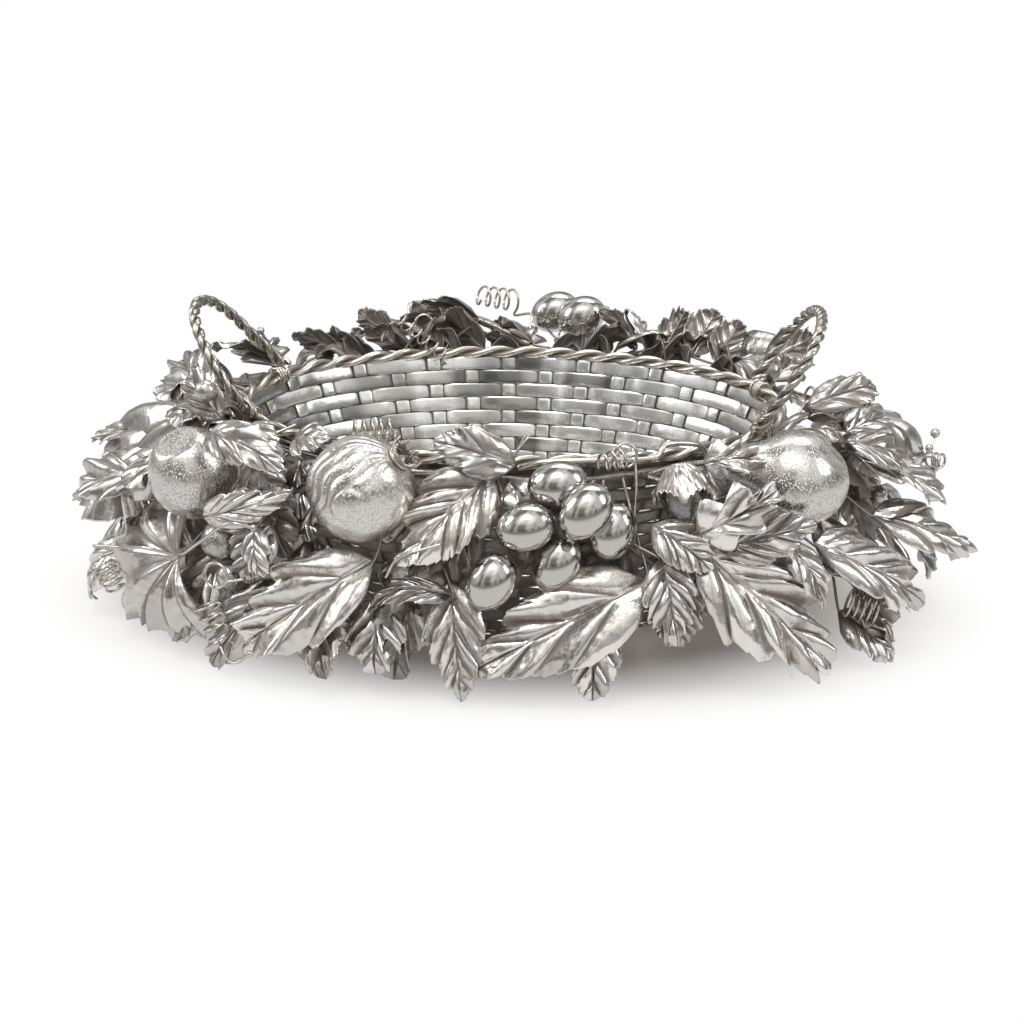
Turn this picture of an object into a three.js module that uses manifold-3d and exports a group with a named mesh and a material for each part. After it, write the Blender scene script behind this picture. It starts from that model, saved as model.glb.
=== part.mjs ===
// A silver centerpiece basket: an oval woven bowl with a twisted rope rim and two rope handles,
// inside a garland of leaves, fruit, grapes and curling tendrils that hangs from a vine below the rim.
// Units are millimetres. The origin is the middle of the base on the table, +X runs along the oval,
// +Y to the back and +Z up.
import * as THREE from "three";
import { mergeVertices } from "three/addons/utils/BufferGeometryUtils.js";
import Module from "manifold-3d";

const wasm = await Module();
wasm.setup();

// Bowl
const rimLength = 320;
const rimWidth = 216;
const rimHeight = 121;
const baseLength = 234;
const baseWidth = 144;
const wallThickness = 2.4;
const floorThickness = 2.4;
const ropeDiameter = 8.2;

// Handles
const handleSpread = 94;
const handleReach = 72;
const leftHandleLean = 35;
const rightHandleLean = 31;
const handleDiameter = 6.8;
const bindingTurns = 3;
const bindingWire = 1.5;
const bindingPitch = 3;

// Garland
const vineDiameter = 4.6;
const vineDrop = 9;
const stalkDiameter = 2;
const leafThickness = 1.1;
const tendrilWire = 1.6;
const tableGap = 0.7;

// Every piece keeps this gap to its neighbours, and every wound wire more than this to itself
const clearance = 0.3;
const wireClearance = 0.45;

// Facets
const ovalSteps = 36;
const ropeSides = 6;
const wireSides = 4;
const curlSteps = 8;
const loopSteps = 9;
const leadSteps = 6;
const fruitSegments = 11;

const up = new THREE.Vector3(0, 0, 1);
const radians = THREE.MathUtils.degToRad;
const ropeRadius = ropeDiameter / 2;
const vineRadius = vineDiameter / 2;
const rimA = rimLength / 2;
const rimB = rimWidth / 2;
const wallTop = rimHeight - ropeRadius - clearance;
const wallFoot = floorThickness + clearance;

// A point beside the rim: degrees around the oval from +X, millimetres outside the rope's centre line
// and height above the table
function around(angle, out, height) {
  const turn = radians(angle);
  return new THREE.Vector3(
    (rimA + out) * Math.cos(turn),
    (rimB + out) * Math.sin(turn),
    height,
  );
}

// The same, with the height counted from the rim
const byRim = (angle, out, rise) => around(angle, out, rimHeight + rise);

// The same, with the height counted from the table, for what hangs down to it
const byTable = (angle, out, height) => around(angle, out, tableGap + height);

// The level direction straight out of the oval
function outward(angle) {
  const turn = radians(angle);
  return new THREE.Vector3(rimB * Math.cos(turn), rimA * Math.sin(turn), 0).normalize();
}

// Closed solids

function solidOf(geometry) {
  const bare = new THREE.BufferGeometry();
  bare.setAttribute("position", geometry.getAttribute("position"));
  bare.setIndex(geometry.index);
  const merged = mergeVertices(bare, 1e-4);
  const corners = merged.index.array;
  const faces = [];
  for (let i = 0; i < corners.length; i += 3) {
    const [a, b, c] = corners.slice(i, i + 3);
    if (a !== b && b !== c && c !== a) faces.push(a, b, c);
  }
  return new wasm.Manifold(
    new wasm.Mesh({
      numProp: 3,
      vertProperties: new Float32Array(merged.attributes.position.array),
      triVerts: new Uint32Array(faces),
    }),
  );
}

function geometryOf(solid) {
  const mesh = solid.getMesh();
  const geometry = new THREE.BufferGeometry();
  geometry.setAttribute("position", new THREE.BufferAttribute(mesh.vertProperties, 3));
  geometry.setIndex(new THREE.BufferAttribute(mesh.triVerts, 1));
  geometry.computeVertexNormals();
  return geometry;
}

// Joins rows of points into a closed surface; each row is a ring of the same number of points
function loft(rings, endless) {
  const count = rings[0].length;
  const positions = rings.flat().flatMap((p) => [p.x, p.y, p.z]);
  const faces = [];
  const rows = endless ? rings.length : rings.length - 1;
  for (let row = 0; row < rows; row++) {
    const next = (row + 1) % rings.length;
    for (let i = 0; i < count; i++) {
      const j = (i + 1) % count;
      const [a, b] = [row * count + i, row * count + j];
      const [c, d] = [next * count + j, next * count + i];
      faces.push(a, b, c, a, c, d);
    }
  }
  if (!endless) {
    const last = (rings.length - 1) * count;
    for (let i = 1; i < count - 1; i++) {
      faces.push(0, i + 1, i);
      faces.push(last, last + i, last + i + 1);
    }
  }
  const geometry = new THREE.BufferGeometry();
  geometry.setAttribute("position", new THREE.Float32BufferAttribute(positions, 3));
  geometry.setIndex(faces);
  return solidOf(geometry);
}

// A closed section of [half length, half width, height] corners carried round the oval
function ovalRing(section) {
  const rings = [];
  for (let step = 0; step < ovalSteps; step++) {
    const turn = (step / ovalSteps) * Math.PI * 2;
    rings.push(
      section.map(([a, b, z]) => new THREE.Vector3(a * Math.cos(turn), b * Math.sin(turn), z)),
    );
  }
  return loft(rings, true);
}

// A straight-ended round rod along a smooth curve through a few points
function rod(points, diameter, sides, steps) {
  const outline = [];
  for (let side = 0; side < sides; side++) {
    const turn = (side / sides) * Math.PI * 2;
    outline.push(
      new THREE.Vector2((diameter / 2) * Math.cos(turn), (diameter / 2) * Math.sin(turn)),
    );
  }
  return solidOf(
    new THREE.ExtrudeGeometry(new THREE.Shape(outline), {
      extrudePath: new THREE.CatmullRomCurve3(points),
      steps,
      bevelEnabled: false,
    }),
  );
}

// An unbroken wire through every given point, its section carried along without twist
function wire(points, diameter) {
  const rings = [];
  const side = new THREE.Vector3(0.31, 0.52, 0.79);
  points.forEach((point, i) => {
    const before = points[Math.max(i - 1, 0)];
    const after = points[Math.min(i + 1, points.length - 1)];
    const along = after.clone().sub(before).normalize();
    side.addScaledVector(along, -side.dot(along)).normalize();
    const third = along.clone().cross(side);
    const ring = [];
    for (let k = 0; k < wireSides; k++) {
      const turn = (k / wireSides) * Math.PI * 2;
      ring.push(
        point
          .clone()
          .addScaledVector(side, (diameter / 2) * Math.cos(turn))
          .addScaledVector(third, (diameter / 2) * Math.sin(turn)),
      );
    }
    rings.push(ring);
  });
  return loft(rings, false);
}

// Carries both ends of a wire straight on for a little way
function straightEnds(points, length) {
  const first = points[0];
  const last = points[points.length - 1];
  const leave = first.clone().sub(points[1]).normalize();
  const finish = last.clone().sub(points[points.length - 2]).normalize();
  return [
    first.clone().addScaledVector(leave, length),
    ...points,
    last.clone().addScaledVector(finish, length),
  ];
}

// A turned body: a profile of [radius, distance along the axis] that starts and ends on the axis
function turned(profile, centre, axis, segments = fruitSegments) {
  const geometry = new THREE.LatheGeometry(
    profile.map(([radius, along]) => new THREE.Vector2(radius, along)),
    segments,
  );
  const turn = new THREE.Quaternion().setFromUnitVectors(
    new THREE.Vector3(0, 1, 0),
    axis.clone().normalize(),
  );
  geometry.applyQuaternion(turn);
  geometry.translate(centre.x, centre.y, centre.z);
  return solidOf(geometry);
}

// The profile of an egg shape from its half length, its radius and how far the wide end is full
function eggProfile(halfLength, radius, fullness = 0, rows = 7) {
  const profile = [];
  for (let row = 0; row <= rows; row++) {
    const turn = -Math.PI / 2 + (row / rows) * Math.PI;
    const along = Math.sin(turn);
    profile.push([radius * Math.cos(turn) * (1 - fullness * along), halfLength * along]);
  }
  profile[0][0] = 0;
  profile[rows][0] = 0;
  return profile;
}

// Where the vine runs, and what hangs from it

const wallSlope = (rimLength - baseLength) / 2 / rimHeight;
const vineOut = wallThickness / 2 - wallSlope * vineDrop + vineRadius + 2 * clearance;
const vineSway = 1.2;

function vinePoint(angle, beyond = 0) {
  const sway = vineSway * (1 + Math.sin(radians(angle * 9)));
  return byRim(angle, vineOut + sway + beyond, vineSway * Math.cos(radians(angle * 7)) - vineDrop);
}

// The half width of a blade along its midrib, as a share of the widest half width: an oval whose
// widest place lies towards the stalk, cut into teeth or drawn out into lobes
const bump = (share, early, fullness) =>
  Math.pow(Math.max(Math.sin(Math.PI * Math.pow(share, early)), 0), fullness);
const toothDepth = 0.14;
const lobeDepth = 0.28;
const lobesPerSide = 2.6;
const outlines = {
  toothed: (share, row) => bump(share, 0.72, 0.75) * (row % 2 ? 1 - toothDepth : 1),
  lobed: (share) =>
    bump(share, 0.6, 0.55) *
    (1 - lobeDepth * (1 - Math.cos(Math.PI * 2 * (share * lobesPerSide - 0.5)))),
};

// Leaves: the half width of their stalk and tip, how far the middle lifts, how far a leaf faces up unless
// it says so itself, and how far along the first stalk, and above it, the others fork off
const leafTip = 1;
const leafBow = 6;
const leafTilt = 45;
const forkShare = 0.35;
const forkLift = 1;

// The facets of a leaf: rows along the blade, places across it, and how it arches beside the midrib and
// turns down at the margin
const leafCuts = {
  fine: { rows: 8, places: [-1, -0.5, 0, 0.5, 1], swell: 0.5, turnDown: 0.55 },
  plain: { rows: 5, places: [-1, 0, 1], swell: 0.12, turnDown: 0 },
  bed: { rows: 4, places: [-1, 1], swell: 0, turnDown: 0 },
};

// A leaf: a thin plate along a bent midrib, its halves arched, that narrows into a stalk from the vine
function leaf(form, from, grow) {
  const { base, tip } = form;
  const kind = form.kind ?? "toothed";
  const { rows, places, swell, turnDown } = leafCuts[form.cut ?? "plain"];
  const tilt = radians(form.tilt ?? leafTilt);
  const facing = outward(form.angle).multiplyScalar(Math.cos(tilt)).addScaledVector(up, Math.sin(tilt));
  const middle = base.clone().lerp(tip, 0.5).addScaledVector(facing, 2 * leafBow);
  const rib = new THREE.QuadraticBezierCurve3(base, middle, tip);
  const ring = (centre, along, half, thickness) => {
    const across = along.clone().cross(facing).normalize();
    const normal = across.clone().cross(along);
    const reach = half + grow;
    return [1, -1].flatMap((face) =>
      places.map((place) => {
        const rise = reach * (swell * Math.abs(place) - turnDown * place * place);
        return centre
          .clone()
          .addScaledVector(across, reach * face * place)
          .addScaledVector(normal, rise + face * (thickness / 2 + grow));
      }),
    );
  };
  const leave = base.clone().sub(from).normalize();
  const rings = [ring(from.clone().addScaledVector(leave, -grow), leave, leafTip, stalkDiameter)];
  for (let row = 0; row <= rows; row++) {
    const share = row / rows;
    const along = rib.getTangent(share);
    const half = Math.max((form.width / 2) * outlines[kind](share, row), leafTip);
    const centre = rib.getPoint(share);
    if (row === rows) centre.addScaledVector(along, grow);
    rings.push(ring(centre, along, half, row ? leafThickness : stalkDiameter));
  }
  return loft(rings, false);
}

// A spray's first leaf grows from the vine, and the others from the first one's stalk
function sprayRoots({ from, leaves }) {
  const start = vinePoint(from, vineRadius + stalkDiameter / 2 + 2 * clearance);
  const fork = start.clone().lerp(leaves[0].base, forkShare).addScaledVector(up, forkLift);
  return { start, fork };
}

function spray(form, grow) {
  const { start, fork } = sprayRoots(form);
  const grown = form.leaves.map((one, i) => leaf(one, i ? fork : start, grow));
  return grown.reduce((all, one) => all.add(one));
}

// The bed: rows of plainer leaves that fill the garland from its crown down to the table. Each row has a
// whole number of leaves to the oval, from base to tip, both as [out, height]: a base goes by the rim, and
// a tip by the rim or, in the lowest row, by the table. Every leaf is swayed a few degrees off its even
// place, turned, and shortened a little.
const bedSway = 4;
const bedTurn = 11;
const bedVary = 0.06;
const bedRows = {
  crown: { count: 16, shift: 0, base: [14, 2], tip: [56, 4], tipBy: byRim, width: 40, tilt: 60 },
  upper: { count: 17, shift: 0.5, base: [24, -12], tip: [88, -36], tipBy: byRim, width: 46, tilt: 48 },
  lower: { count: 18, shift: 0, base: [30, -46], tip: [94, 12.3], tipBy: byTable, width: 50, tilt: 24 },
};

// How far the garland spreads: fully at the two ends of the oval, less in front and at the back
const spreadAt = (angle) => 0.6 + 0.4 * Math.pow(Math.abs(Math.cos(radians(angle))), 0.8);

// The leaves of a row that stand between two angles
function bedLeaves(row, from, to) {
  const { count, shift, base, tip, tipBy, width, tilt } = bedRows[row];
  const found = [];
  for (let step = 0; step < 2 * count; step++) {
    const angle = ((step + shift) * 360) / count + bedSway * Math.sin(2.4 * (step % count));
    if (angle < from || angle >= to) continue;
    const turn = bedTurn * Math.sin(1.7 * (step % count));
    const spread = spreadAt(angle);
    const reach = spread * (1 - bedVary + bedVary * Math.sin(3.1 * (step % count)));
    found.push({
      base: byRim(angle, base[0] * (0.5 + spread / 2), base[1]),
      tip: tipBy(angle + turn, tip[0] * reach, tip[1]),
      angle: angle + turn / 2,
      width,
      tilt,
      cut: "bed",
    });
  }
  return found;
}

function bed(form, grow) {
  const { fork } = sprayRoots(form);
  const leaves = form.bed.flatMap(([row, from, to]) => bedLeaves(row, from, to));
  return leaves.map((one) => leaf(one, fork, grow)).reduce((all, one) => all.add(one));
}

// A fruit's stem, from inside the fruit to just short of the vine
function stem(from, angle, diameter, grow) {
  const end = vinePoint(angle, vineRadius + diameter / 2 + clearance);
  return rod([end, end.clone().lerp(from, 0.5), from], diameter + 2 * grow, 6, 3);
}

// A tendril: a lead from the vine, a coil that may tighten or open, and a short straight end
function tendril(form) {
  const axis = form.to.clone().sub(form.from);
  const reach = axis.length();
  axis.normalize();
  const side = form.start.clone().sub(form.from);
  side.addScaledVector(axis, -side.dot(axis)).normalize();
  const third = axis.clone().cross(side);
  const steps = Math.round(form.turns * curlSteps);
  const coil = [];
  for (let step = 0; step <= steps; step++) {
    const share = step / steps;
    const turn = share * form.turns * Math.PI * 2;
    const radius = THREE.MathUtils.lerp(form.radius, form.endRadius, share);
    coil.push(
      form.from
        .clone()
        .addScaledVector(axis, reach * share)
        .addScaledVector(side, radius * Math.cos(turn))
        .addScaledVector(third, radius * Math.sin(turn)),
    );
  }
  const leave = coil[0].clone().sub(coil[1]).normalize();
  const before = coil[0].clone().addScaledVector(leave, form.radius * 0.8);
  const lead = new THREE.CatmullRomCurve3([form.start, ...form.lead, before]);
  const points = [form.start];
  for (let step = 2; step <= leadSteps; step++) points.push(lead.getPoint(step / leadSteps));
  return straightEnds([...points, ...coil], tendrilWire);
}

// The least gap between two stretches of one wire that are more than a third of a curl apart
function selfGap(points, diameter, apart = 3) {
  let least = Infinity;
  const fine = [];
  for (let i = 0; i < points.length - 1; i++) {
    for (let k = 0; k < 4; k++) fine.push(points[i].clone().lerp(points[i + 1], k / 4));
  }
  for (let i = 0; i < fine.length; i++) {
    for (let j = i + apart * 4; j < fine.length; j++) {
      least = Math.min(least, fine[i].distanceTo(fine[j]) - diameter);
    }
  }
  return least;
}

// Placing

const pieces = [];

function touches(a, b) {
  const [p, q] = [a.boundingBox(), b.boundingBox()];
  return [0, 1, 2].every((k) => p.min[k] < q.max[k] && q.min[k] < p.max[k]);
}

// Cuts a solid back where a piece other than its own, with the gap round it, is in its place
function cutBack(solid, own) {
  const others = pieces.filter((piece) => piece.name !== own && touches(solid, piece.room));
  return others.reduce((left, piece) => left.subtract(piece.room), solid);
}

function largest(solid) {
  const bodies = solid.decompose();
  return bodies.reduce((best, body) => (body.volume() > best.volume() ? body : best));
}

// Adds a piece, cut back where an earlier one is in its place. What the piece itself keeps clear is its
// own shape with that gap, or a plainer room round it.
function place(name, material, build, room = build) {
  const solid = largest(cutBack(build(0), name));
  pieces.push({ name, material, solid, room: room(clearance) });
}

// Adds to a piece what gives way to every other piece
function fill(name, build) {
  const piece = pieces.find((one) => one.name === name);
  piece.solid = largest(piece.solid.add(cutBack(build(0), name)));
  piece.room = piece.room.add(build(clearance));
}

function silver(color, roughness) {
  return new THREE.MeshStandardMaterial({ color, roughness, metalness: 1 });
}
const brightSilver = silver(0xd9d5ce, 0.12);
const wovenSilver = silver(0xcfccc6, 0.22);
const ropeSilver = silver(0xc2b8a6, 0.25);
const leafSilver = silver(0xbdb9b3, 0.3);
const fruitSilver = silver(0xc6c2bb, 0.34);
const darkSilver = silver(0x7b746d, 0.4);

// Rim and handles

function ropeRing(grow) {
  const section = [];
  for (let side = 0; side < ropeSides; side++) {
    const turn = (side / ropeSides) * Math.PI * 2;
    const out = (ropeRadius + grow) * Math.cos(turn);
    section.push([rimA + out, rimB + out, rimHeight + (ropeRadius + grow) * Math.sin(turn)]);
  }
  return ovalRing(section.reverse());
}

const footAngle = THREE.MathUtils.radToDeg(Math.asin(handleSpread / rimWidth));

// A handle leans out over its end of the oval; end is 1 at the right and -1 at the left
function handle(end, grow) {
  const foot = rimA * Math.cos(radians(footAngle));
  const tilt = radians(end > 0 ? rightHandleLean : leftHandleLean);
  const lean = new THREE.Vector3(end * Math.sin(tilt), 0, Math.cos(tilt));
  const at = (aside, reach) =>
    new THREE.Vector3(end * foot, aside, rimHeight).addScaledVector(lean, reach);
  const half = handleSpread / 2;
  const start = ropeRadius + clearance;
  const leg = (sign) => [
    at(sign * half, start),
    at(sign * half * 1.03, handleReach * 0.38),
    at(sign * half * 0.9, handleReach * 0.7),
    at(sign * half * 0.52, handleReach * 0.93),
  ];
  const points = [...leg(-1), at(0, handleReach), ...leg(1).reverse()];
  return rod(points, handleDiameter + 2 * grow, ropeSides, 22);
}

// Where a binding lies on the rim: degrees round the oval, a run of millimetres from the handle's foot
// towards the middle of the handle
function bindingAngle(end, side, run) {
  const foot = side * (end > 0 ? footAngle : 180 - footAngle);
  const turn = radians(foot);
  const speed = Math.hypot(rimA * Math.sin(turn), rimB * Math.cos(turn));
  return foot - (side * end * THREE.MathUtils.radToDeg(run)) / speed;
}

const bindingStart = handleDiameter / 2 + bindingWire + clearance;
const bindingRun = bindingPitch * bindingTurns;
const bindingRadius = (ropeRadius + wireClearance + bindingWire / 2) / Math.cos(Math.PI / loopSteps);

// A wire wound round the rim beside a handle's foot
function bindingPath(end, side) {
  const steps = bindingTurns * loopSteps;
  const points = [];
  for (let step = 0; step <= steps; step++) {
    const turn = (step / loopSteps) * Math.PI * 2 + Math.PI / 2;
    const angle = bindingAngle(end, side, bindingStart + (bindingRun * step) / steps);
    points.push(
      around(angle, 0, rimHeight)
        .addScaledVector(outward(angle), bindingRadius * Math.cos(turn))
        .addScaledVector(up, bindingRadius * Math.sin(turn)),
    );
  }
  return straightEnds(points, bindingWire);
}

// The plain round room that a binding takes up, which notches the wall's top edge
function bindingRoom(end, side, grow) {
  const points = [-bindingWire, bindingRun / 2, bindingRun + bindingWire].map((run) =>
    around(bindingAngle(end, side, bindingStart + run), 0, rimHeight),
  );
  return rod(points, 2 * (bindingRadius + bindingWire / 2 + grow), 8, 2);
}

place("rim_rope", ropeSilver, ropeRing);
place("handle_left", ropeSilver, (grow) => handle(-1, grow));
place("handle_right", ropeSilver, (grow) => handle(1, grow));

const gaps = [];
const corners = { left_front: [-1, -1], left_back: [-1, 1], right_front: [1, -1], right_back: [1, 1] };
for (const [corner, [end, side]] of Object.entries(corners)) {
  const path = bindingPath(end, side);
  gaps.push(["binding_" + corner, selfGap(path, bindingWire)]);
  place(
    "binding_" + corner,
    ropeSilver,
    (grow) => wire(path, bindingWire + 2 * grow),
    (grow) => bindingRoom(end, side, grow),
  );
}

// Bowl

function wall(grow) {
  const half = wallThickness / 2 + grow;
  return ovalRing([
    [baseLength / 2, baseWidth / 2, wallFoot - grow],
    [baseLength / 2 - 2 * half, baseWidth / 2 - 2 * half, wallFoot - grow],
    [rimA - half, rimB - half, wallTop + grow],
    [rimA + half, rimB + half, wallTop + grow],
  ]);
}

function basePlate(grow) {
  const outline = new THREE.Shape();
  outline.absellipse(0, 0, baseLength / 2 + grow, baseWidth / 2 + grow, 0, Math.PI * 2, false, 0);
  const plate = new THREE.ExtrudeGeometry(outline, {
    depth: floorThickness + grow,
    curveSegments: ovalSteps / 2,
    bevelEnabled: false,
  });
  return solidOf(plate);
}

place("basket_wall", wovenSilver, wall);
place("base_plate", wovenSilver, basePlate);

// Vine, in four runs that meet end to end

const vineRuns = { back: [42, 138], left: [140, 224], front: [226, 314], right: [316, 400] };
for (const [side, [from, to]] of Object.entries(vineRuns)) {
  const points = [];
  for (let step = 0; step <= 12; step++) {
    points.push(vinePoint(THREE.MathUtils.lerp(from, to, step / 12)));
  }
  place("vine_" + side, darkSilver, (grow) => rod(points, vineDiameter + 2 * grow, 5, 12));
}

// Fruit. stemAngle is where round the oval a fruit's stem meets the vine, and fullness widens its lower
// end.
const fruits = {
  peach: {
    length: 54,
    diameter: 50,
    fullness: 0.06,
    centre: byRim(218, 55, -15),
    axis: [-0.25, -0.35, 0.9],
    stemAngle: 214,
    stemDiameter: 4,
  },
  hazelnut: {
    length: 34,
    diameter: 25,
    fullness: 0.12,
    centre: byRim(302, 42, -9),
    axis: [0.1, -0.35, -0.9],
    stemAngle: 300,
    stemDiameter: 3,
  },
  apple: {
    length: 34,
    diameter: 38,
    fullness: -0.08,
    centre: byRim(42, 46, 4),
    axis: [0.2, 0.3, 1],
    stemAngle: 44,
    stemDiameter: 4,
  },
  plum: {
    length: 34,
    diameter: 29,
    fullness: 0,
    centre: byRim(165, 40, -6),
    axis: [-0.6, 0.2, 0.7],
    stemAngle: 166,
    stemDiameter: 3,
  },
  berry: {
    length: 24,
    diameter: 24,
    fullness: 0,
    centre: byRim(227, 58, -47),
    axis: [0, -0.6, 0.8],
    stemAngle: 232,
    stemDiameter: 3,
  },
};

function fruit(form, grow) {
  const profile = eggProfile(form.length / 2 + grow, form.diameter / 2 + grow, form.fullness);
  const body = turned(profile, form.centre, new THREE.Vector3(...form.axis));
  return body.add(stem(form.centre, form.stemAngle, form.stemDiameter, grow));
}

// The pomegranate's crown is a short flared tube with a dished end
const pomegranateDiameter = 58;
const pomegranateCrown = { neck: 6, mouth: 9.5, length: 10, root: 7, dish: 2 };
const pomegranateStem = 4;

function pomegranate(grow) {
  const centre = byRim(251, 42, -6);
  const axis = new THREE.Vector3(0.72, -0.1, 0.62).normalize();
  const radius = pomegranateDiameter / 2;
  const { neck, mouth, length, root, dish } = pomegranateCrown;
  const body = turned(eggProfile(radius + grow, radius + grow), centre, axis);
  const crown = turned(
    [
      [0, radius - root],
      [neck + grow, radius - root],
      [neck + grow, radius + length * 0.1],
      [mouth + grow, radius + length + grow],
      [0, radius + length - dish + grow],
    ],
    centre,
    axis,
    8,
  );
  return body.add(crown).add(stem(centre, 246, pomegranateStem, grow));
}

// The pear's half diameters, from its blossom end to its stem end, along its length
const pearBody = 26.5;
const pearNeck = 11.5;
const pearBlossomEnd = -26;
const pearStemEnd = 48;
const pearStem = 3.4;

function pear(grow) {
  const centre = byRim(322, 55, -7);
  const axis = byRim(311, 34, 4).sub(centre).normalize();
  const body = turned(
    [
      [0, pearBlossomEnd + 1 - grow],
      [pearBody * 0.23 + grow, pearBlossomEnd - grow],
      [pearBody * 0.64 + grow, pearBlossomEnd * 0.77],
      [pearBody * 0.94 + grow, pearBlossomEnd * 0.27],
      [pearBody + grow, pearStemEnd * 0.08],
      [pearBody * 0.87 + grow, pearStemEnd * 0.31],
      [(pearBody + pearNeck) * 0.41 + grow, pearStemEnd * 0.54],
      [pearNeck + grow, pearStemEnd * 0.77],
      [pearNeck * 0.7 + grow, pearStemEnd - 3],
      [0, pearStemEnd + grow],
    ],
    centre,
    axis,
  );
  const stalkRoot = centre.clone().addScaledVector(axis, pearStemEnd - 4);
  return body.add(stem(stalkRoot, 302, pearStem, grow));
}

place("pomegranate", fruitSilver, pomegranate);
place("pear", fruitSilver, pear);
for (const [name, form] of Object.entries(fruits)) {
  place(name, fruitSilver, (grow) => fruit(form, grow));
}

// Grapes, each on a short stalk from the bunch's own stem

const grapeLength = 33;
const grapeDiameter = 26;
const grapeStalk = 1.6;
const grapeSegments = 8;
const bunchDiameter = 3.2;

function bunchStem(root, points, grow) {
  const start = vinePoint(root, vineRadius + bunchDiameter / 2 + clearance);
  return rod([start, ...points], bunchDiameter + 2 * grow, 5, 6);
}

// A grape lies along its own axis, and its stalk runs from the bunch's stem at node
function grape({ centre, axis, node }, grow) {
  const profile = eggProfile(grapeLength / 2 + grow, grapeDiameter / 2 + grow, 0, 6);
  const body = turned(profile, centre, new THREE.Vector3(...axis), grapeSegments);
  const toward = centre.clone().sub(node).normalize();
  const end = node.clone().addScaledVector(toward, bunchDiameter / 2 + clearance);
  const stalk = rod([end, end.clone().lerp(centre, 0.5), centre], grapeStalk + 2 * grow, 4, 2);
  return body.add(stalk);
}

const frontBunch = [byRim(286, 16, -20), byRim(282, 22, -38), byRim(277, 28, -52)];
const backBunch = [byRim(84, 18, -2), byRim(85, 24, 2)];
const bunches = {
  front: {
    root: 290,
    points: frontBunch,
    grapes: [
      { centre: byRim(282, 32, -2), axis: [0.97, 0, 0.25], node: frontBunch[0] },
      { centre: byRim(285.4, 52, -10), axis: [0.62, 0.2, 0.76], node: frontBunch[0] },
      { centre: byRim(290.5, 38, -28), axis: [0.35, 0.15, 0.92], node: frontBunch[0] },
      { centre: byRim(276.8, 46, -21), axis: [0.93, 0, 0.37], node: frontBunch[1] },
      { centre: byRim(281.6, 42, -43), axis: [0.5, 0.1, 0.86], node: frontBunch[1] },
      { centre: byRim(271.8, 54, -49), axis: [0.5, 0.1, 0.86], node: frontBunch[2] },
    ],
  },
  back: {
    root: 84,
    points: backBunch,
    grapes: [
      { centre: byRim(80.5, 34, 16), axis: [0.9, 0, 0.43], node: backBunch[1] },
      { centre: byRim(86.2, 46, 15), axis: [0.8, 0, 0.6], node: backBunch[1] },
    ],
  },
};
for (const [side, { root, points, grapes }] of Object.entries(bunches)) {
  place("grape_stem_" + side, darkSilver, (grow) => bunchStem(root, points, grow));
  grapes.forEach((form, i) => {
    place("grape_" + side + "_" + (i + 1), brightSilver, (grow) => grape(form, grow));
  });
}

// A pruned twig on the back of the vine, thicker than the stalks, with its end cut square
const twigDiameter = 5.4;
const twig = [byRim(90, 10, 2), byRim(96, 16, 10), byRim(103, 25, 17), byRim(111, 32, 21)];
place("pruned_twig", darkSilver, (grow) => rod(twig, twigDiameter + 2 * grow, 7, 6));

// Tendrils

const tendrils = {
  tendril_peach: {
    start: byRim(216, 98, -54),
    lead: [byRim(212, 106, -57)],
    from: byRim(211.5, 102, -68),
    to: byRim(215, 99, -81),
    radius: 7,
    endRadius: 5,
    turns: 5,
  },
  tendril_left_front: {
    start: byRim(236, 74, -58),
    lead: [byRim(234, 82, -60)],
    from: byRim(231, 82, -73),
    to: byRim(232.5, 78, -98),
    radius: 8,
    endRadius: 6.5,
    turns: 4,
  },
  tendril_pomegranate: {
    start: byRim(240, 12, 3),
    lead: [byRim(240, 16, 10)],
    from: byRim(245, 17, 17),
    to: byRim(252, 8, 18),
    radius: 6,
    endRadius: 6,
    turns: 5,
  },
  tendril_stem_front: {
    start: byRim(297, 12, 4),
    lead: [byRim(296, 19, 6)],
    from: byRim(294, 24, 9),
    to: byRim(289.5, 27, 8),
    radius: 6,
    endRadius: 4.5,
    turns: 3,
  },
  tendril_right_front: {
    start: byRim(323, 78, -58),
    lead: [byRim(326, 84, -62)],
    from: byRim(329, 73, -80),
    to: byRim(332, 87, -86),
    radius: 9,
    endRadius: 8,
    turns: 5,
  },
  tendril_right: {
    start: byRim(350, 12, 3),
    lead: [byRim(352, 14, 8)],
    from: byRim(358, 14, 10),
    to: byRim(1, 38, 6),
    radius: 6.5,
    endRadius: 6.5,
    turns: 5,
  },
  tendril_far_right: {
    start: byRim(356, 76, -30),
    lead: [byRim(359, 82, -32)],
    from: byRim(3, 88, -31),
    to: byRim(360, 97, -28),
    radius: 5,
    endRadius: 4,
    turns: 3,
  },
  tendril_back: {
    start: byRim(90, 14, 12),
    lead: [byRim(90, 20, 20)],
    from: byRim(93, 24, 29),
    to: byRim(101, 26, 30),
    radius: 7,
    endRadius: 6,
    turns: 4,
  },
  tendril_back_left: {
    start: byRim(123, 14, 6),
    lead: [byRim(122, 15, 12)],
    from: byRim(119, 12, 17),
    to: byRim(112, -10, 7),
    radius: 4.5,
    endRadius: 4,
    turns: 4,
  },
};
for (const [name, form] of Object.entries(tendrils)) {
  const path = tendril(form);
  gaps.push([name, selfGap(path, tendrilWire)]);
  place(name, ropeSilver, (grow) => wire(path, tendrilWire + 2 * grow));
}

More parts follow.
